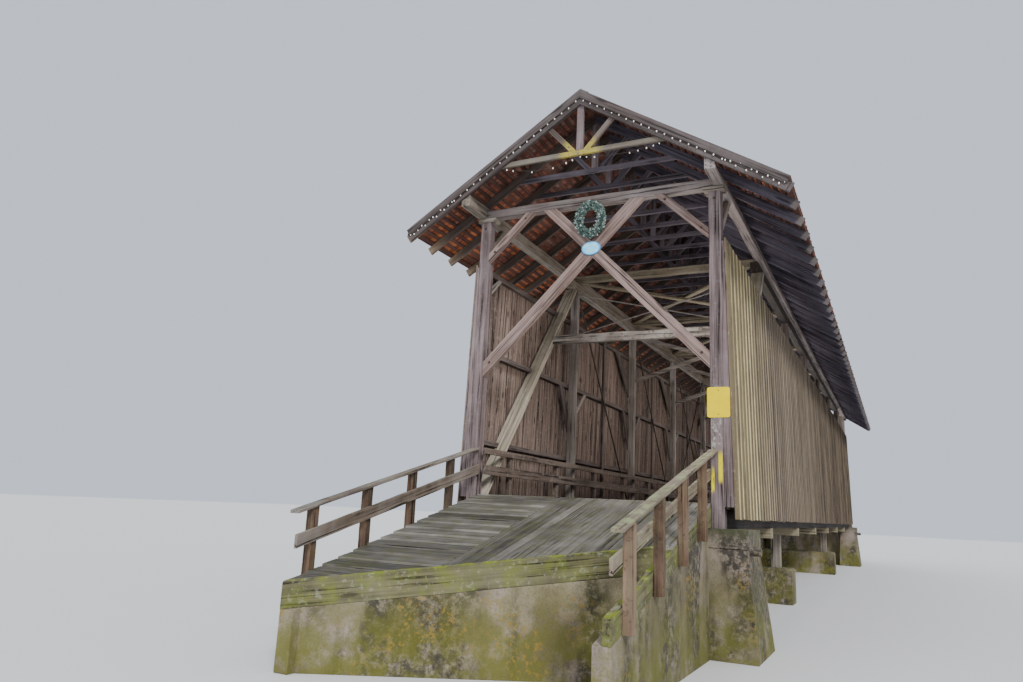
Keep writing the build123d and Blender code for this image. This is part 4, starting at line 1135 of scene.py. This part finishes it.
@dataclass
class Siding:
    """Upright boards with cover strips over their joints, leaning out towards the foot."""

    side: Side
    pitch: float = 0.296
    gap: float = 0.022
    board_t: float = 0.022
    strip_w: float = 0.050
    strip_t: float = 0.014
    packed_t: float = 0.030
    board_inset: float = 0.004
    strip_inset: float = 0.003
    foot_drop: float = 0.02
    sway: float = 0.0015
    strip_uneven: float = 0.003
    strip_short: float = 0.01
    foot_play: float = 0.02
    head_play: float = 0.015
    seed: int = 41

    def build(self) -> None:
        """Make the boards and strips of one wall.

        A board's outline is a rectangle in plan; its top and bottom outlines are joined by straight
        lines, so it leans as the wall does.
        """
        node = f"{self.side.word}_siding"
        low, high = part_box(node)
        rng = np.random.default_rng(self.seed + self.side.value)
        foot_x = max(abs(low.x), abs(high.x))
        head_x = min(abs(low.x), abs(high.x)) + self.packed_t
        count = round((high.y - low.y) / self.pitch)
        pitch = (high.y - low.y) / count
        y0 = low.y + np.arange(count) * pitch
        drop = rng.random(count) * self.foot_drop
        sway = rng.normal(0, self.sway, count)
        span = (y0 + self.gap / 2, y0 + pitch - self.gap / 2)
        foot = self.outline(foot_x - self.board_inset + sway, self.board_t, span, low.z + drop)
        head = self.outline(head_x - self.board_inset + sway, self.board_t, span, np.full(count, high.z))
        how = {"step": 0.45, "edge": 0.003, "wave": 0.0012, "outward": (float(self.side.value), 0.0, 0.0)}
        boards = bars(foot, head, rng, **how)
        boards.object(f"{self.side.word}_boards", SIDING_WOOD, "wall_boards", (node,))
        joints = low.y + np.arange(1, count) * pitch
        half = self.strip_w / 2 + rng.normal(0, self.strip_uneven, len(joints))
        span = (joints - half, joints + half)
        proud = self.strip_t - self.strip_inset
        low_z = low.z + self.strip_short + rng.random(len(joints)) * self.foot_play
        high_z = high.z - self.strip_short - rng.random(len(joints)) * self.head_play
        foot = self.outline(foot_x + proud, self.strip_t, span, low_z)
        head = self.outline(head_x + proud, self.strip_t, span, high_z)
        strips = bars(foot, head, rng, **how)
        strips.outside[:] = 1.0
        strips.object(f"{self.side.word}_cover_strips", STRIP_WOOD, "wall_boards")

    def outline(self, x_out: np.ndarray | float, thick: float, span: tuple, z: np.ndarray) -> np.ndarray:
        """Four corners of each board's end.

        Args:
            x_out: distance of its weather side from the centreline.
            thick: its thickness.
            span: its two places along the bridge.
            z: its levels.

        Returns:
            (n, 4, 3) corners.
        """
        out = np.broadcast_to(self.side.value * x_out, z.shape)
        inn = np.broadcast_to(self.side.value * (x_out - thick), z.shape)
        xs = np.stack([out, out, inn, inn], axis=1)
        ys = np.stack([span[0], span[1], span[1], span[0]], axis=1)
        return np.stack([xs, ys, np.broadcast_to(z[:, None], xs.shape)], axis=-1)


@dataclass
class RoofSide:
    """Spaced boards along the bridge with courses of split shingles on them."""

    side: Side
    board_w: float = 0.068
    board_t: float = 0.020
    board_pitch: float = 0.14
    board_uneven: float = 0.004
    board_gap: float = 0.004
    first_row: float = 0.05
    lengths: int = 7
    exposure: float = 0.14
    shingle_l: float = 0.31
    shingle_w: tuple = (0.07, 0.165)
    shingle_gap: float = 0.004
    thin: float = 0.003
    thick: float = 0.009
    lift: float = 0.016
    mean_w: float = 0.118
    butt_uneven: float = 0.006
    shortest: float = 0.03
    extra_t: float = 0.003
    seed: int = 71

    def __post_init__(self) -> None:
        """Set the origin on the ridge and the unit vectors down the slope and square to it.

        A place on the slope is given by the distance s down from the ridge, the place y along the
        bridge and the height h square to the slope above the rafters.
        """
        self.node = f"{self.side.word}_roof"
        self.low, self.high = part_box(self.node)
        width = self.high.x - self.low.x
        drop = width * roof_slope()
        self.run = math.hypot(width, drop)
        self.down = np.array([self.side.value * width, 0.0, -drop]) / self.run
        self.up = np.array([self.side.value * drop, 0.0, width]) / self.run
        self.origin = np.array([0.0, 0.0, self.high.z]) - self.up * ROOF_T

    def build(self) -> None:
        """Make both layers."""
        rng = np.random.default_rng(self.seed + self.side.value)
        self.boards(rng)
        self.shingles(rng)

    def at(self, s: np.ndarray, y: np.ndarray, h: np.ndarray | float) -> np.ndarray:
        """Points on the slope.

        Args:
            s: distances down from the ridge.
            y: places along the bridge.
            h: heights square to the slope.

        Returns:
            (n, 3) points.
        """
        s, y, h = np.broadcast_arrays(s, y, h)
        points = self.origin + s[..., None] * self.down + h[..., None] * self.up
        points[..., 1] = y
        return points

    def boards(self, rng: np.random.Generator) -> None:
        """Rows of boards, each row broken into lengths.

        Args:
            rng: source of chance.
        """
        rows = np.arange(self.first_row, self.run - self.board_w, self.board_pitch)
        rows = np.append(rows, self.run - self.board_w)
        joints = np.linspace(self.low.y, self.high.y, self.lengths + 1)
        s = np.repeat(rows, self.lengths)
        y0, y1 = np.tile(joints[:-1], len(rows)), np.tile(joints[1:], len(rows)) - self.board_gap
        width = self.board_w + rng.normal(0, self.board_uneven, len(s))
        top = self.board_t

        def end(y: np.ndarray) -> np.ndarray:
            """Four corners of each board's end."""
            return np.stack([self.at(s, y, 0.0), self.at(s + width, y, 0.0), self.at(s + width, y, top),
                             self.at(s, y, top)], axis=1)

        made = bars(end(y0), end(y1), rng, step=1.2, edge=0.003, wave=0.0015)
        made.object(f"{self.side.word}_skip_boards", SKIP_WOOD, "roof_boards")

    def shingles(self, rng: np.random.Generator) -> None:
        """Courses of wedge-shaped shingles with uneven widths and butts.

        The underside climbs from the boards to the lift at the butt, and the thickness grows from thin
        to thick on the way, so each butt lies on the course below.

        Args:
            rng: source of chance.
        """
        length = self.high.y - self.low.y
        courses = int(self.run / self.exposure) + 1
        butts = self.run - np.arange(courses) * self.exposure
        per = int(length / self.mean_w)
        widths = rng.uniform(*self.shingle_w, (courses, per))
        widths *= (length / widths.sum(axis=1))[:, None]
        right = np.cumsum(widths, axis=1)
        y0 = (self.low.y + right - widths + self.shingle_gap / 2).ravel()
        y1 = (self.low.y + right - self.shingle_gap / 2).ravel()
        butt = np.repeat(butts, per) + rng.normal(0, self.butt_uneven, courses * per)
        butt = butt.clip(self.shortest, self.run)
        head = (butt - self.shingle_l).clip(0.0, None)
        extra = rng.uniform(0.0, self.extra_t, len(butt))
        share = (butt - head) / self.shingle_l

        def end(s: np.ndarray, h: np.ndarray, t: np.ndarray | float) -> np.ndarray:
            """Four corners at one distance down the slope."""
            return np.stack([self.at(s, y0, h), self.at(s, y1, h), self.at(s, y1, h + t),
                             self.at(s, y0, h + t)], axis=1)

        upper = end(head, self.board_t + self.lift * (1 - share), self.thin)
        lower = end(butt, self.board_t + self.lift + extra, self.thick + extra)
        made = bars(upper, lower, rng, step=1.0, edge=0.0, wave=0.0, outward=tuple(self.up))
        made.object(f"{self.side.word}_shingles", SHINGLE_WOOD, "roof_boards", (self.node,))


@dataclass
class Decking:
    """Planks of the bridge deck and of both ramps."""

    plank: float = 0.29
    narrow: float = 0.145
    split: float = -0.42
    gap: float = 0.014
    ramp_t: float = 0.060
    worn: float = 0.004
    tuck: float = 0.018
    seed: int = 5

    def build(self) -> None:
        """Lay the bridge deck crosswise, and then the ramps."""
        rng = np.random.default_rng(self.seed)
        count = round((DECK_HIGH.y - DECK_LOW.y) / self.plank)
        edges = np.linspace(DECK_LOW.y, DECK_HIGH.y, count + 1)
        ones = np.ones(count)
        low = np.stack([DECK_LOW.x * ones, edges[:-1] + self.gap / 2, DECK_LOW.z * ones], axis=1)
        high = np.stack([DECK_HIGH.x * ones, edges[1:] - self.gap / 2,
                         DECK_HIGH.z - rng.random(count) * self.worn], axis=1)
        deck = box_bars(low, high, 0, rng, edge=0.004, wave=0.0015)
        deck.object("deck_boards", DECK_WOOD, "grey_planks", ("deck_planks",))
        ramps = []
        for sign in (-1, 1):
            ramps += [self.lengthwise(sign, rng), self.crosswise(sign, rng)]
        Surface.joined(ramps).object("ramp_boards", DECK_WOOD, "grey_planks", ("ramp_decks",))

    def lengthwise(self, sign: int, rng: np.random.Generator) -> Surface:
        """Boards up a ramp, from its skewed foot y = a + b x to the portal.

        Args:
            sign: -1 for the near ramp, 1 for the far one.
            rng: source of chance.

        Returns:
            One surface.
        """
        count = round((RAMP_HIGH.x - self.split) / self.narrow)
        edges = np.linspace(self.split, RAMP_HIGH.x, count + 1)
        x0, x1 = edges[:-1] + self.gap / 2, edges[1:] - self.gap / 2
        sink = rng.random(count) * self.worn
        top = np.full(count, PORTAL_Y)
        foot0, foot1 = (RAMP_LOW.y + RAMP_SKEW * (x - RAMP_LOW.x) for x in (x0, x1))
        lower = self.corners(sign, (x0, foot0), (x1, foot1), sink, sink)
        upper = self.corners(sign, (x0, top), (x1, top), sink, sink)
        return bars(lower, upper, rng, step=0.3, edge=0.004, wave=0.0015)

    def crosswise(self, sign: int, rng: np.random.Generator) -> Surface:
        """Boards over the strip along a ramp's long side, up to the split or, nearer the foot, to the skew.

        Each is set lower at its upper edge, so that the next one's lower edge stands proud of it.

        Args:
            sign: -1 for the near ramp, 1 for the far one.
            rng: source of chance.

        Returns:
            One surface.
        """
        count = round((PORTAL_Y - RAMP_LOW.y) / self.plank)
        rows = np.linspace(RAMP_LOW.y, PORTAL_Y, count + 1)
        y0, y1 = rows[:-1] + self.gap, rows[1:] - self.gap
        sink = rng.random(count) * self.worn
        tuck = sink + self.tuck
        side = np.full(count, RAMP_LOW.x)
        reach0, reach1 = (np.minimum(RAMP_LOW.x + (y - RAMP_LOW.y) / RAMP_SKEW, self.split - self.gap)
                          for y in (y0, y1))
        left = self.corners(sign, (side, y0), (side, y1), sink, tuck)
        right = self.corners(sign, (reach0, y0), (reach1, y1), sink, tuck)
        return bars(left, right, rng, step=0.3, edge=0.004, wave=0.0015)

    def corners(self, sign: int, a: tuple, b: tuple, sink_a: np.ndarray, sink_b: np.ndarray) -> np.ndarray:
        """Four corners over two points of the plan, on the ramp's plane and one thickness under it.

        Args:
            sign: -1 for the near ramp, 1 for the far one.
            a: x and y of the first point.
            b: x and y of the second point.
            sink_a: how far the top lies under the plane at the first.
            sink_b: how far it does at the second.

        Returns:
            (n, 4, 3) corners.
        """
        thick = self.ramp_t * math.hypot(1, RAMP_SLOPE)
        points = []
        for (x, y), drop in ((a, thick), (b, thick), (b, sink_b), (a, sink_a)):
            level = DECK_Z + RAMP_SLOPE * (y - PORTAL_Y) - drop
            points.append(np.stack(np.broadcast_arrays(x, -sign * y, level), axis=1))
        return np.stack(points, axis=1)


@dataclass
class Wreath:
    """Ring of small leaves hung on the near portal."""

    ring: float = 0.165
    leaves: int = 2200
    root_share: tuple = (0.2, 0.65)
    scatter: float = 0.55
    leaf_l: tuple = (0.035, 0.06)
    leaf_t: float = 0.006
    margin: float = 0.001
    seed: int = 3

    def build(self) -> None:
        """Scatter leaves over an oval torus, x = a cos t and z = b sin t along its middle.

        A leaf is a flat double pyramid with six corners: root, tip, two sides, top and bottom. Its
        root lies inside the torus and it points outwards, turned by chance.
        """
        low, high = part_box("wreath")
        centre = np.array([(low.x + high.x) / 2, (low.y + high.y) / 2, (low.z + high.z) / 2])
        rng = np.random.default_rng(self.seed)
        around = rng.random(self.leaves) * TAU
        about = rng.random(self.leaves) * TAU
        radial = np.stack([np.cos(around), np.zeros_like(around), np.sin(around)], axis=1)
        reach = np.array([(high.x - low.x - self.ring) / 2, 0.0, (high.z - low.z - self.ring) / 2])
        out = radial * np.cos(about)[:, None] + np.array([0.0, -1.0, 0.0]) * np.sin(about)[:, None]
        depth = rng.uniform(*self.root_share, self.leaves)[:, None]
        root = centre + radial * reach + out * self.ring / 2 * depth
        aim = unit(out + rng.normal(0, self.scatter, (self.leaves, 3)))
        side = unit(np.cross(aim, rng.normal(0, 1, (self.leaves, 3))))
        face = np.cross(aim, side)
        length = rng.uniform(*self.leaf_l, self.leaves)[:, None]
        belly, half_w, half_t = root + aim * length * 0.5, side * length * 0.3, face * self.leaf_t / 2
        keel = root + aim * length * 0.45
        points = np.stack([root, root + aim * length, belly + half_w, belly - half_w, keel + half_t,
                           keel - half_t], axis=1)
        cells = np.array([[0, 2, 4], [2, 1, 4], [1, 3, 4], [3, 0, 4],
                          [2, 0, 5], [1, 2, 5], [3, 1, 5], [0, 3, 5]])
        faces = (cells[None] + 6 * np.arange(self.leaves)[:, None, None]).reshape(-1, 3)
        flat = points.clip(np.array(low) + self.margin, np.array(high) - self.margin).reshape(-1, 3)
        tone = np.repeat(rng.random(self.leaves), 6)
        made = Surface(flat, [faces], flat.copy(), tone, np.ones(len(flat)))
        made.object("wreath_leaves", LEAF, "greenery", ("wreath",))


@dataclass
class Lamps:
    """Small white lamps along the verge boards and under the front collar."""

    spacing: float = 0.15
    foot_spacing: float = 0.09
    foot_reach: float = 1.1
    margin: float = 0.08
    radius: float = 0.010
    play: tuple = (0.85, 1.15)
    drop: float = 0.155
    hang: float = 0.024
    in_verge: float = 0.008
    in_collar: float = 0.012
    under_collar: float = 0.01
    collar_half: float = 1.40
    left_dip: float = 0.145
    right_dip: float = 0.09
    collar_lamps: tuple = (-0.97, -0.88, -0.62, -0.34, -0.17, -0.09, 0.01, 0.09, 0.19,
                           0.62, 0.72, 0.82, 0.90, 0.97)
    uneven: float = 0.006
    loose: int = 11
    loose_sway: float = 0.03
    seed: int = 9

    def build(self) -> None:
        """String lamps down both slopes of both verges, closer at the foot, and under the collar."""
        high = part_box("gable_boards")[1]
        rng = np.random.default_rng(self.seed)
        run = high.x * math.hypot(1, roof_slope())
        steps = np.concatenate([np.arange(self.margin, run - self.foot_reach - 0.05, self.spacing),
                                np.arange(run - self.foot_reach, run - self.margin, self.foot_spacing)])
        x = steps / run * high.x
        lines = []
        for end in (-1, 1):
            for sign in (-1, 1):
                drop = self.drop + rng.normal(0, self.uneven, len(steps))
                drop[-self.loose:] += self.loose_sway * np.sin(np.arange(self.loose) * 2.4)
                lines.append(np.stack([sign * x, np.full(len(x), -end * (high.y - self.in_verge)),
                                       ROOF_HIGH.z - x * roof_slope() - drop], axis=1))
        spots = np.concatenate(lines + [self.swags(np.array(self.collar_lamps))])
        bulbs = self.eggs(spots - (0.0, 0.0, self.hang), rng)
        wires = [self.wire(line) for line in lines + [self.swags(np.linspace(-1, 1, 33))]]
        bulbs.object("lamps", LAMP, "plaque")
        Surface.joined(wires).object("lamp_wires", IRON, "iron")

    def swags(self, share: np.ndarray) -> np.ndarray:
        """Points of two swags under the collar, z = low - dip |sin pi t|.

        Args:
            share: places t from -1 at its left end to 1 at its right end.

        Returns:
            (n, 3) points.
        """
        dip = np.where(share < 0, self.left_dip, self.right_dip)
        level = COLLAR_LOW.z - self.under_collar - dip * np.abs(np.sin(share * math.pi))
        front = np.full(len(share), COLLAR_LOW.y + self.in_collar)
        return np.stack([self.collar_half * share, front, level], axis=1)

    def wire(self, line: np.ndarray, radius: float = 0.004) -> Surface:
        """A thin six-sided wire through a row of points.

        Args:
            line: (n, 3) points.
            radius: the wire's radius.

        Returns:
            One closed surface.
        """
        along = unit(np.gradient(line, axis=0))
        side = unit(np.cross(along, (0.0, 1.0, 0.0)))
        other = np.cross(along, side)
        angle = np.linspace(0, TAU, 6, endpoint=False)[None, :, None]
        points = line[:, None] + radius * (np.cos(angle) * side[:, None] + np.sin(angle) * other[:, None])
        return Surface.plain(points, tube_faces(1, len(line), 6))

    def eggs(self, spots: np.ndarray, rng: np.random.Generator) -> Surface:
        """Egg shapes: rings whose radius is a sine of the way down, stretched by a half.

        Args:
            spots: (n, 3) middles.
            rng: source of chance.

        Returns:
            One surface.
        """
        rings, sides = 7, 8
        v = np.linspace(0.04, math.pi - 0.04, rings)[:, None]
        u = np.linspace(0, TAU, sides, endpoint=False)[None]
        size = self.radius * rng.uniform(*self.play, len(spots))[:, None, None]
        x = size * (np.sin(v) * np.cos(u))[None]
        y = size * (np.sin(v) * np.sin(u))[None]
        z = size * (-1.5 * np.cos(v) * np.ones_like(u))[None]
        points = np.stack([x, y, z], axis=-1) + spots[:, None, None]
        return Surface.plain(points, tube_faces(len(spots), rings, sides))


@dataclass
class Ironwork:
    """Bolts with washers at the portals' joints, and the sign's screws."""

    washer: float = 0.022
    head: float = 0.013
    from_corner: tuple = (0.10, 0.12)
    above_deck: tuple = ((1.86, 2.27), (1.86, 4.31), (1.27, 4.88))
    washer_t: float = 0.005
    head_t: float = 0.014
    sunk: float = 0.002
    chamfer: float = 0.85
    screw_scale: float = 0.35
    screw_margin: float = 0.05

    def build(self) -> None:
        """Place the bolts on the near and far portal faces, and the sign's screws."""
        corner = (POST_HIGH.x - self.from_corner[0], POST_HIGH.z - self.from_corner[1])
        places = [corner] + [(x, DECK_Z + z) for x, z in self.above_deck]
        spots = np.array([(sign * x, z) for sign in (-1, 1) for x, z in places])
        rows = []
        for facing, y in ((Facing.NEAR, PORTAL_Y), (Facing.FAR, -PORTAL_Y)):
            base = np.stack([spots[:, 0], np.full(len(spots), y), spots[:, 1]], axis=1)
            rows.append(self.bolts(base, np.array(facing.value)))
        Surface.joined(rows).object("portal_bolts", IRON, "iron")
        low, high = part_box("warning_sign")
        x = (low.x + high.x) / 2
        screws = np.array([[x, low.y, low.z + self.screw_margin], [x, low.y, high.z - self.screw_margin]])
        made = self.bolts(screws, np.array(Facing.NEAR.value), self.screw_scale)
        made.object("sign_screws", IRON, "iron")

    def bolts(self, base: np.ndarray, out: np.ndarray, scale: float = 1.0) -> Surface:
        """Six-sided heads on round washers, as rings carried out along the bolt.

        Args:
            base: (n, 3) centres on the timber.
            out: direction out of the timber.
            scale: size against a full bolt.

        Returns:
            One surface.
        """
        parts = []
        turn = 1.0 if out[1] < 0 else -1.0
        shrink = np.array([1.0, 1.0, self.chamfer])
        top = self.washer_t + self.head_t
        for sides, radius, start, end in ((16, self.washer, 0.0, self.washer_t),
                                          (6, self.head, self.washer_t, top)):
            angle = np.linspace(0, TAU, sides, endpoint=False)
            ring = np.stack([np.cos(angle), 0 * angle, turn * np.sin(angle)], axis=1) * radius * scale
            stages = np.array([start - self.sunk, end - self.sunk, end]) * scale
            points = (base[:, None, None] + ring[None, None] * shrink[None, :, None, None]
                      + out * stages[None, :, None, None])
            parts.append(Surface.plain(points, tube_faces(len(base), 3, sides)))
        return Surface.joined(parts)


@dataclass
class Plaque:
    """Oval plate with a raised rim and a bare pale field."""

    rim: float = 0.14
    sides: int = 40
    shares: tuple = (1.0, 1.0, 0.97, 0.05)
    heights: tuple = (0.0, 0.0005, 0.0015, 0.0025)

    def build(self) -> None:
        """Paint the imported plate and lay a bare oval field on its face.

        The field is a disc of rings, x = a r cos t and z = b r sin t, with a slight dome.
        """
        paint("portal_plaque", PLAQUE_PAINT)
        low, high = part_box("portal_plaque")
        a, b = (high.x - low.x) / 2 * (1 - self.rim), (high.z - low.z) / 2 * (1 - self.rim)
        t = np.linspace(0, TAU, self.sides, endpoint=False)
        r = np.array(self.shares)[:, None]
        x = r * a * np.cos(t)
        z = r * b * np.sin(t) + (low.z + high.z) / 2
        y = np.broadcast_to(low.y - np.array(self.heights)[:, None], x.shape)
        field = Surface.plain(np.stack([x, y, z], axis=-1), tube_faces(1, len(r), self.sides))
        field.object("plaque_field", PLAQUE_FIELD, "plaque")


def paint(node: str, style: PlainFinish) -> None:
    """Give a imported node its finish.

    Args:
        node: the CAD node.
        style: the finish.
    """
    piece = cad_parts[node]
    piece.data.materials.clear()
    piece.data.materials.append(finish(style))


@dataclass
class Concrete:
    """Piers, abutments, footings and ramp walls."""

    nodes: tuple = ("piers", "abutments", "bent_footings", "ramp_side_walls", "ramp_foot_walls")

    def build(self, softener: Timbers) -> None:
        """Wear the edges of every block and pour its finish."""
        for node in self.nodes:
            softener.soften(node, CONCRETE, 0.012, slot="concrete")


@dataclass
class Studio:
    """Floor, soft lights and the camera at the photograph's place."""

    eye: tuple = (4.463, -26.823, 1.942)
    yaw: float = 27.031
    pitch: float = 12.335
    roll: float = 2.733
    focal_px: float = 762.58
    picture_px: float = 1023.0
    sensor_mm: float = 36.0
    sky: tuple = (0.80, 0.87, 1.0, 1.0)
    sky_strength: float = 0.95
    suns: tuple = (("key_sun", 2.8, 12.0, (55, 0, 42)), ("fill_sun", 1.1, 60.0, (72, 0, -24)))
    hall_lamps: int = 6
    hall_power: float = 190.0
    hall_colour: tuple = (1.0, 0.95, 0.92)
    hall_x: float = 1.0
    hall_ends: tuple = (1.2, 2.0)
    hall_height: float = 2.6
    hall_radius: float = 0.9
    floor_half: float = 150.0
    floor_z: float = -0.002

    def build(self) -> None:
        """Lay the floor, hang the lights and set the camera."""
        self.floor()
        self.lights()
        self.camera()

    def floor(self) -> None:
        """One large pale square just under the lowest point."""
        half = self.floor_half
        mesh = bpy.data.meshes.new("studio_floor")
        corners = [(x * half, y * half, self.floor_z) for x, y in ((-1, -1), (1, -1), (1, 1), (-1, 1))]
        mesh.from_pydata(corners, [], [(0, 1, 2, 3)])
        style = Shader("studio_floor")
        style.feed("Base Color", (0.72, 0.71, 0.69))
        style.feed("Roughness", 0.9)
        mesh.materials.append(style.material)
        floor = bpy.data.objects.new("studio_floor", mesh)
        bpy.context.scene.collection.objects.link(floor)

    def lights(self) -> None:
        """A pale sky, two soft suns from the front, and round soft lamps down the middle of the hall."""
        world = bpy.data.worlds.new("studio_sky")
        world.use_nodes = True
        sky = world.node_tree.nodes["Background"].inputs
        sky["Color"].default_value = self.sky
        sky["Strength"].default_value = self.sky_strength
        bpy.context.scene.world = world
        for name, energy, angle, turn in self.suns:
            sun = self.lamp(name, "SUN", energy, (0.0, 0.0, 0.0), tuple(math.radians(v) for v in turn))
            sun.data.angle = math.radians(angle)
        near, far = PORTAL_Y + self.hall_ends[0], -PORTAL_Y - self.hall_ends[1]
        for number, y in enumerate(np.linspace(near, far, self.hall_lamps)):
            place = (self.hall_x, float(y), DECK_Z + self.hall_height)
            lamp = self.lamp(f"hall_lamp_{number}", "POINT", self.hall_power, place, (0.0, 0.0, 0.0))
            lamp.data.shadow_soft_size = self.hall_radius
            lamp.data.color = self.hall_colour

    def lamp(self, name: str, kind: str, energy: float, place: tuple, turn: tuple) -> bpy.types.Object:
        """Hang one light that the camera doesn't see.

        Args:
            name: its name.
            kind: SUN or POINT.
            energy: strength.
            place: position.
            turn: rotation.

        Returns:
            The light.
        """
        data = bpy.data.lights.new(name, kind)
        data.energy = energy
        light = bpy.data.objects.new(name, data)
        light.location = place
        light.rotation_euler = turn
        light.visible_camera = False
        bpy.context.scene.collection.objects.link(light)
        return light

    def camera(self) -> None:
        """Aim by yaw left of +Y, pitch above level and roll, as unit vectors."""
        yaw, pitch, roll = (math.radians(v) for v in (self.yaw, self.pitch, self.roll))
        level_share = math.cos(pitch)
        ahead = Vector((-math.sin(yaw) * level_share, math.cos(yaw) * level_share, math.sin(pitch)))
        level = Vector((math.cos(yaw), math.sin(yaw), 0.0))
        above = level.cross(ahead)
        right = level * math.cos(roll) + above * math.sin(roll)
        up = above * math.cos(roll) - level * math.sin(roll)
        lens = bpy.data.cameras.new("photograph_camera")
        lens.sensor_width = self.sensor_mm
        lens.lens = self.focal_px / self.picture_px * self.sensor_mm
        lens.clip_end = 500.0
        camera = bpy.data.objects.new("photograph_camera", lens)
        columns = Matrix((right, up, -ahead)).transposed().to_4x4()
        camera.matrix_world = Matrix.Translation(Vector(self.eye)) @ columns
        bpy.context.scene.collection.objects.link(camera)
        bpy.context.scene.camera = camera


def main() -> None:
    """Build the dressed bridge in order."""
    logging.basicConfig(level=logging.INFO, format="%(message)s")
    Studio().build()
    timbers = Timbers()
    timbers.build()
    Concrete().build(timbers)
    for side in Side:
        Siding(side).build()
        RoofSide(side).build()
    Decking().build()
    Wreath().build()
    Lamps().build()
    Ironwork().build()
    Plaque().build()
    paint("warning_sign", SIGN_PAINT)
    paint("truss_rods", IRON)
    paint("sway_rods", ROD)
    bpy.context.view_layer.update()


if __name__ == "__main__":
    main()
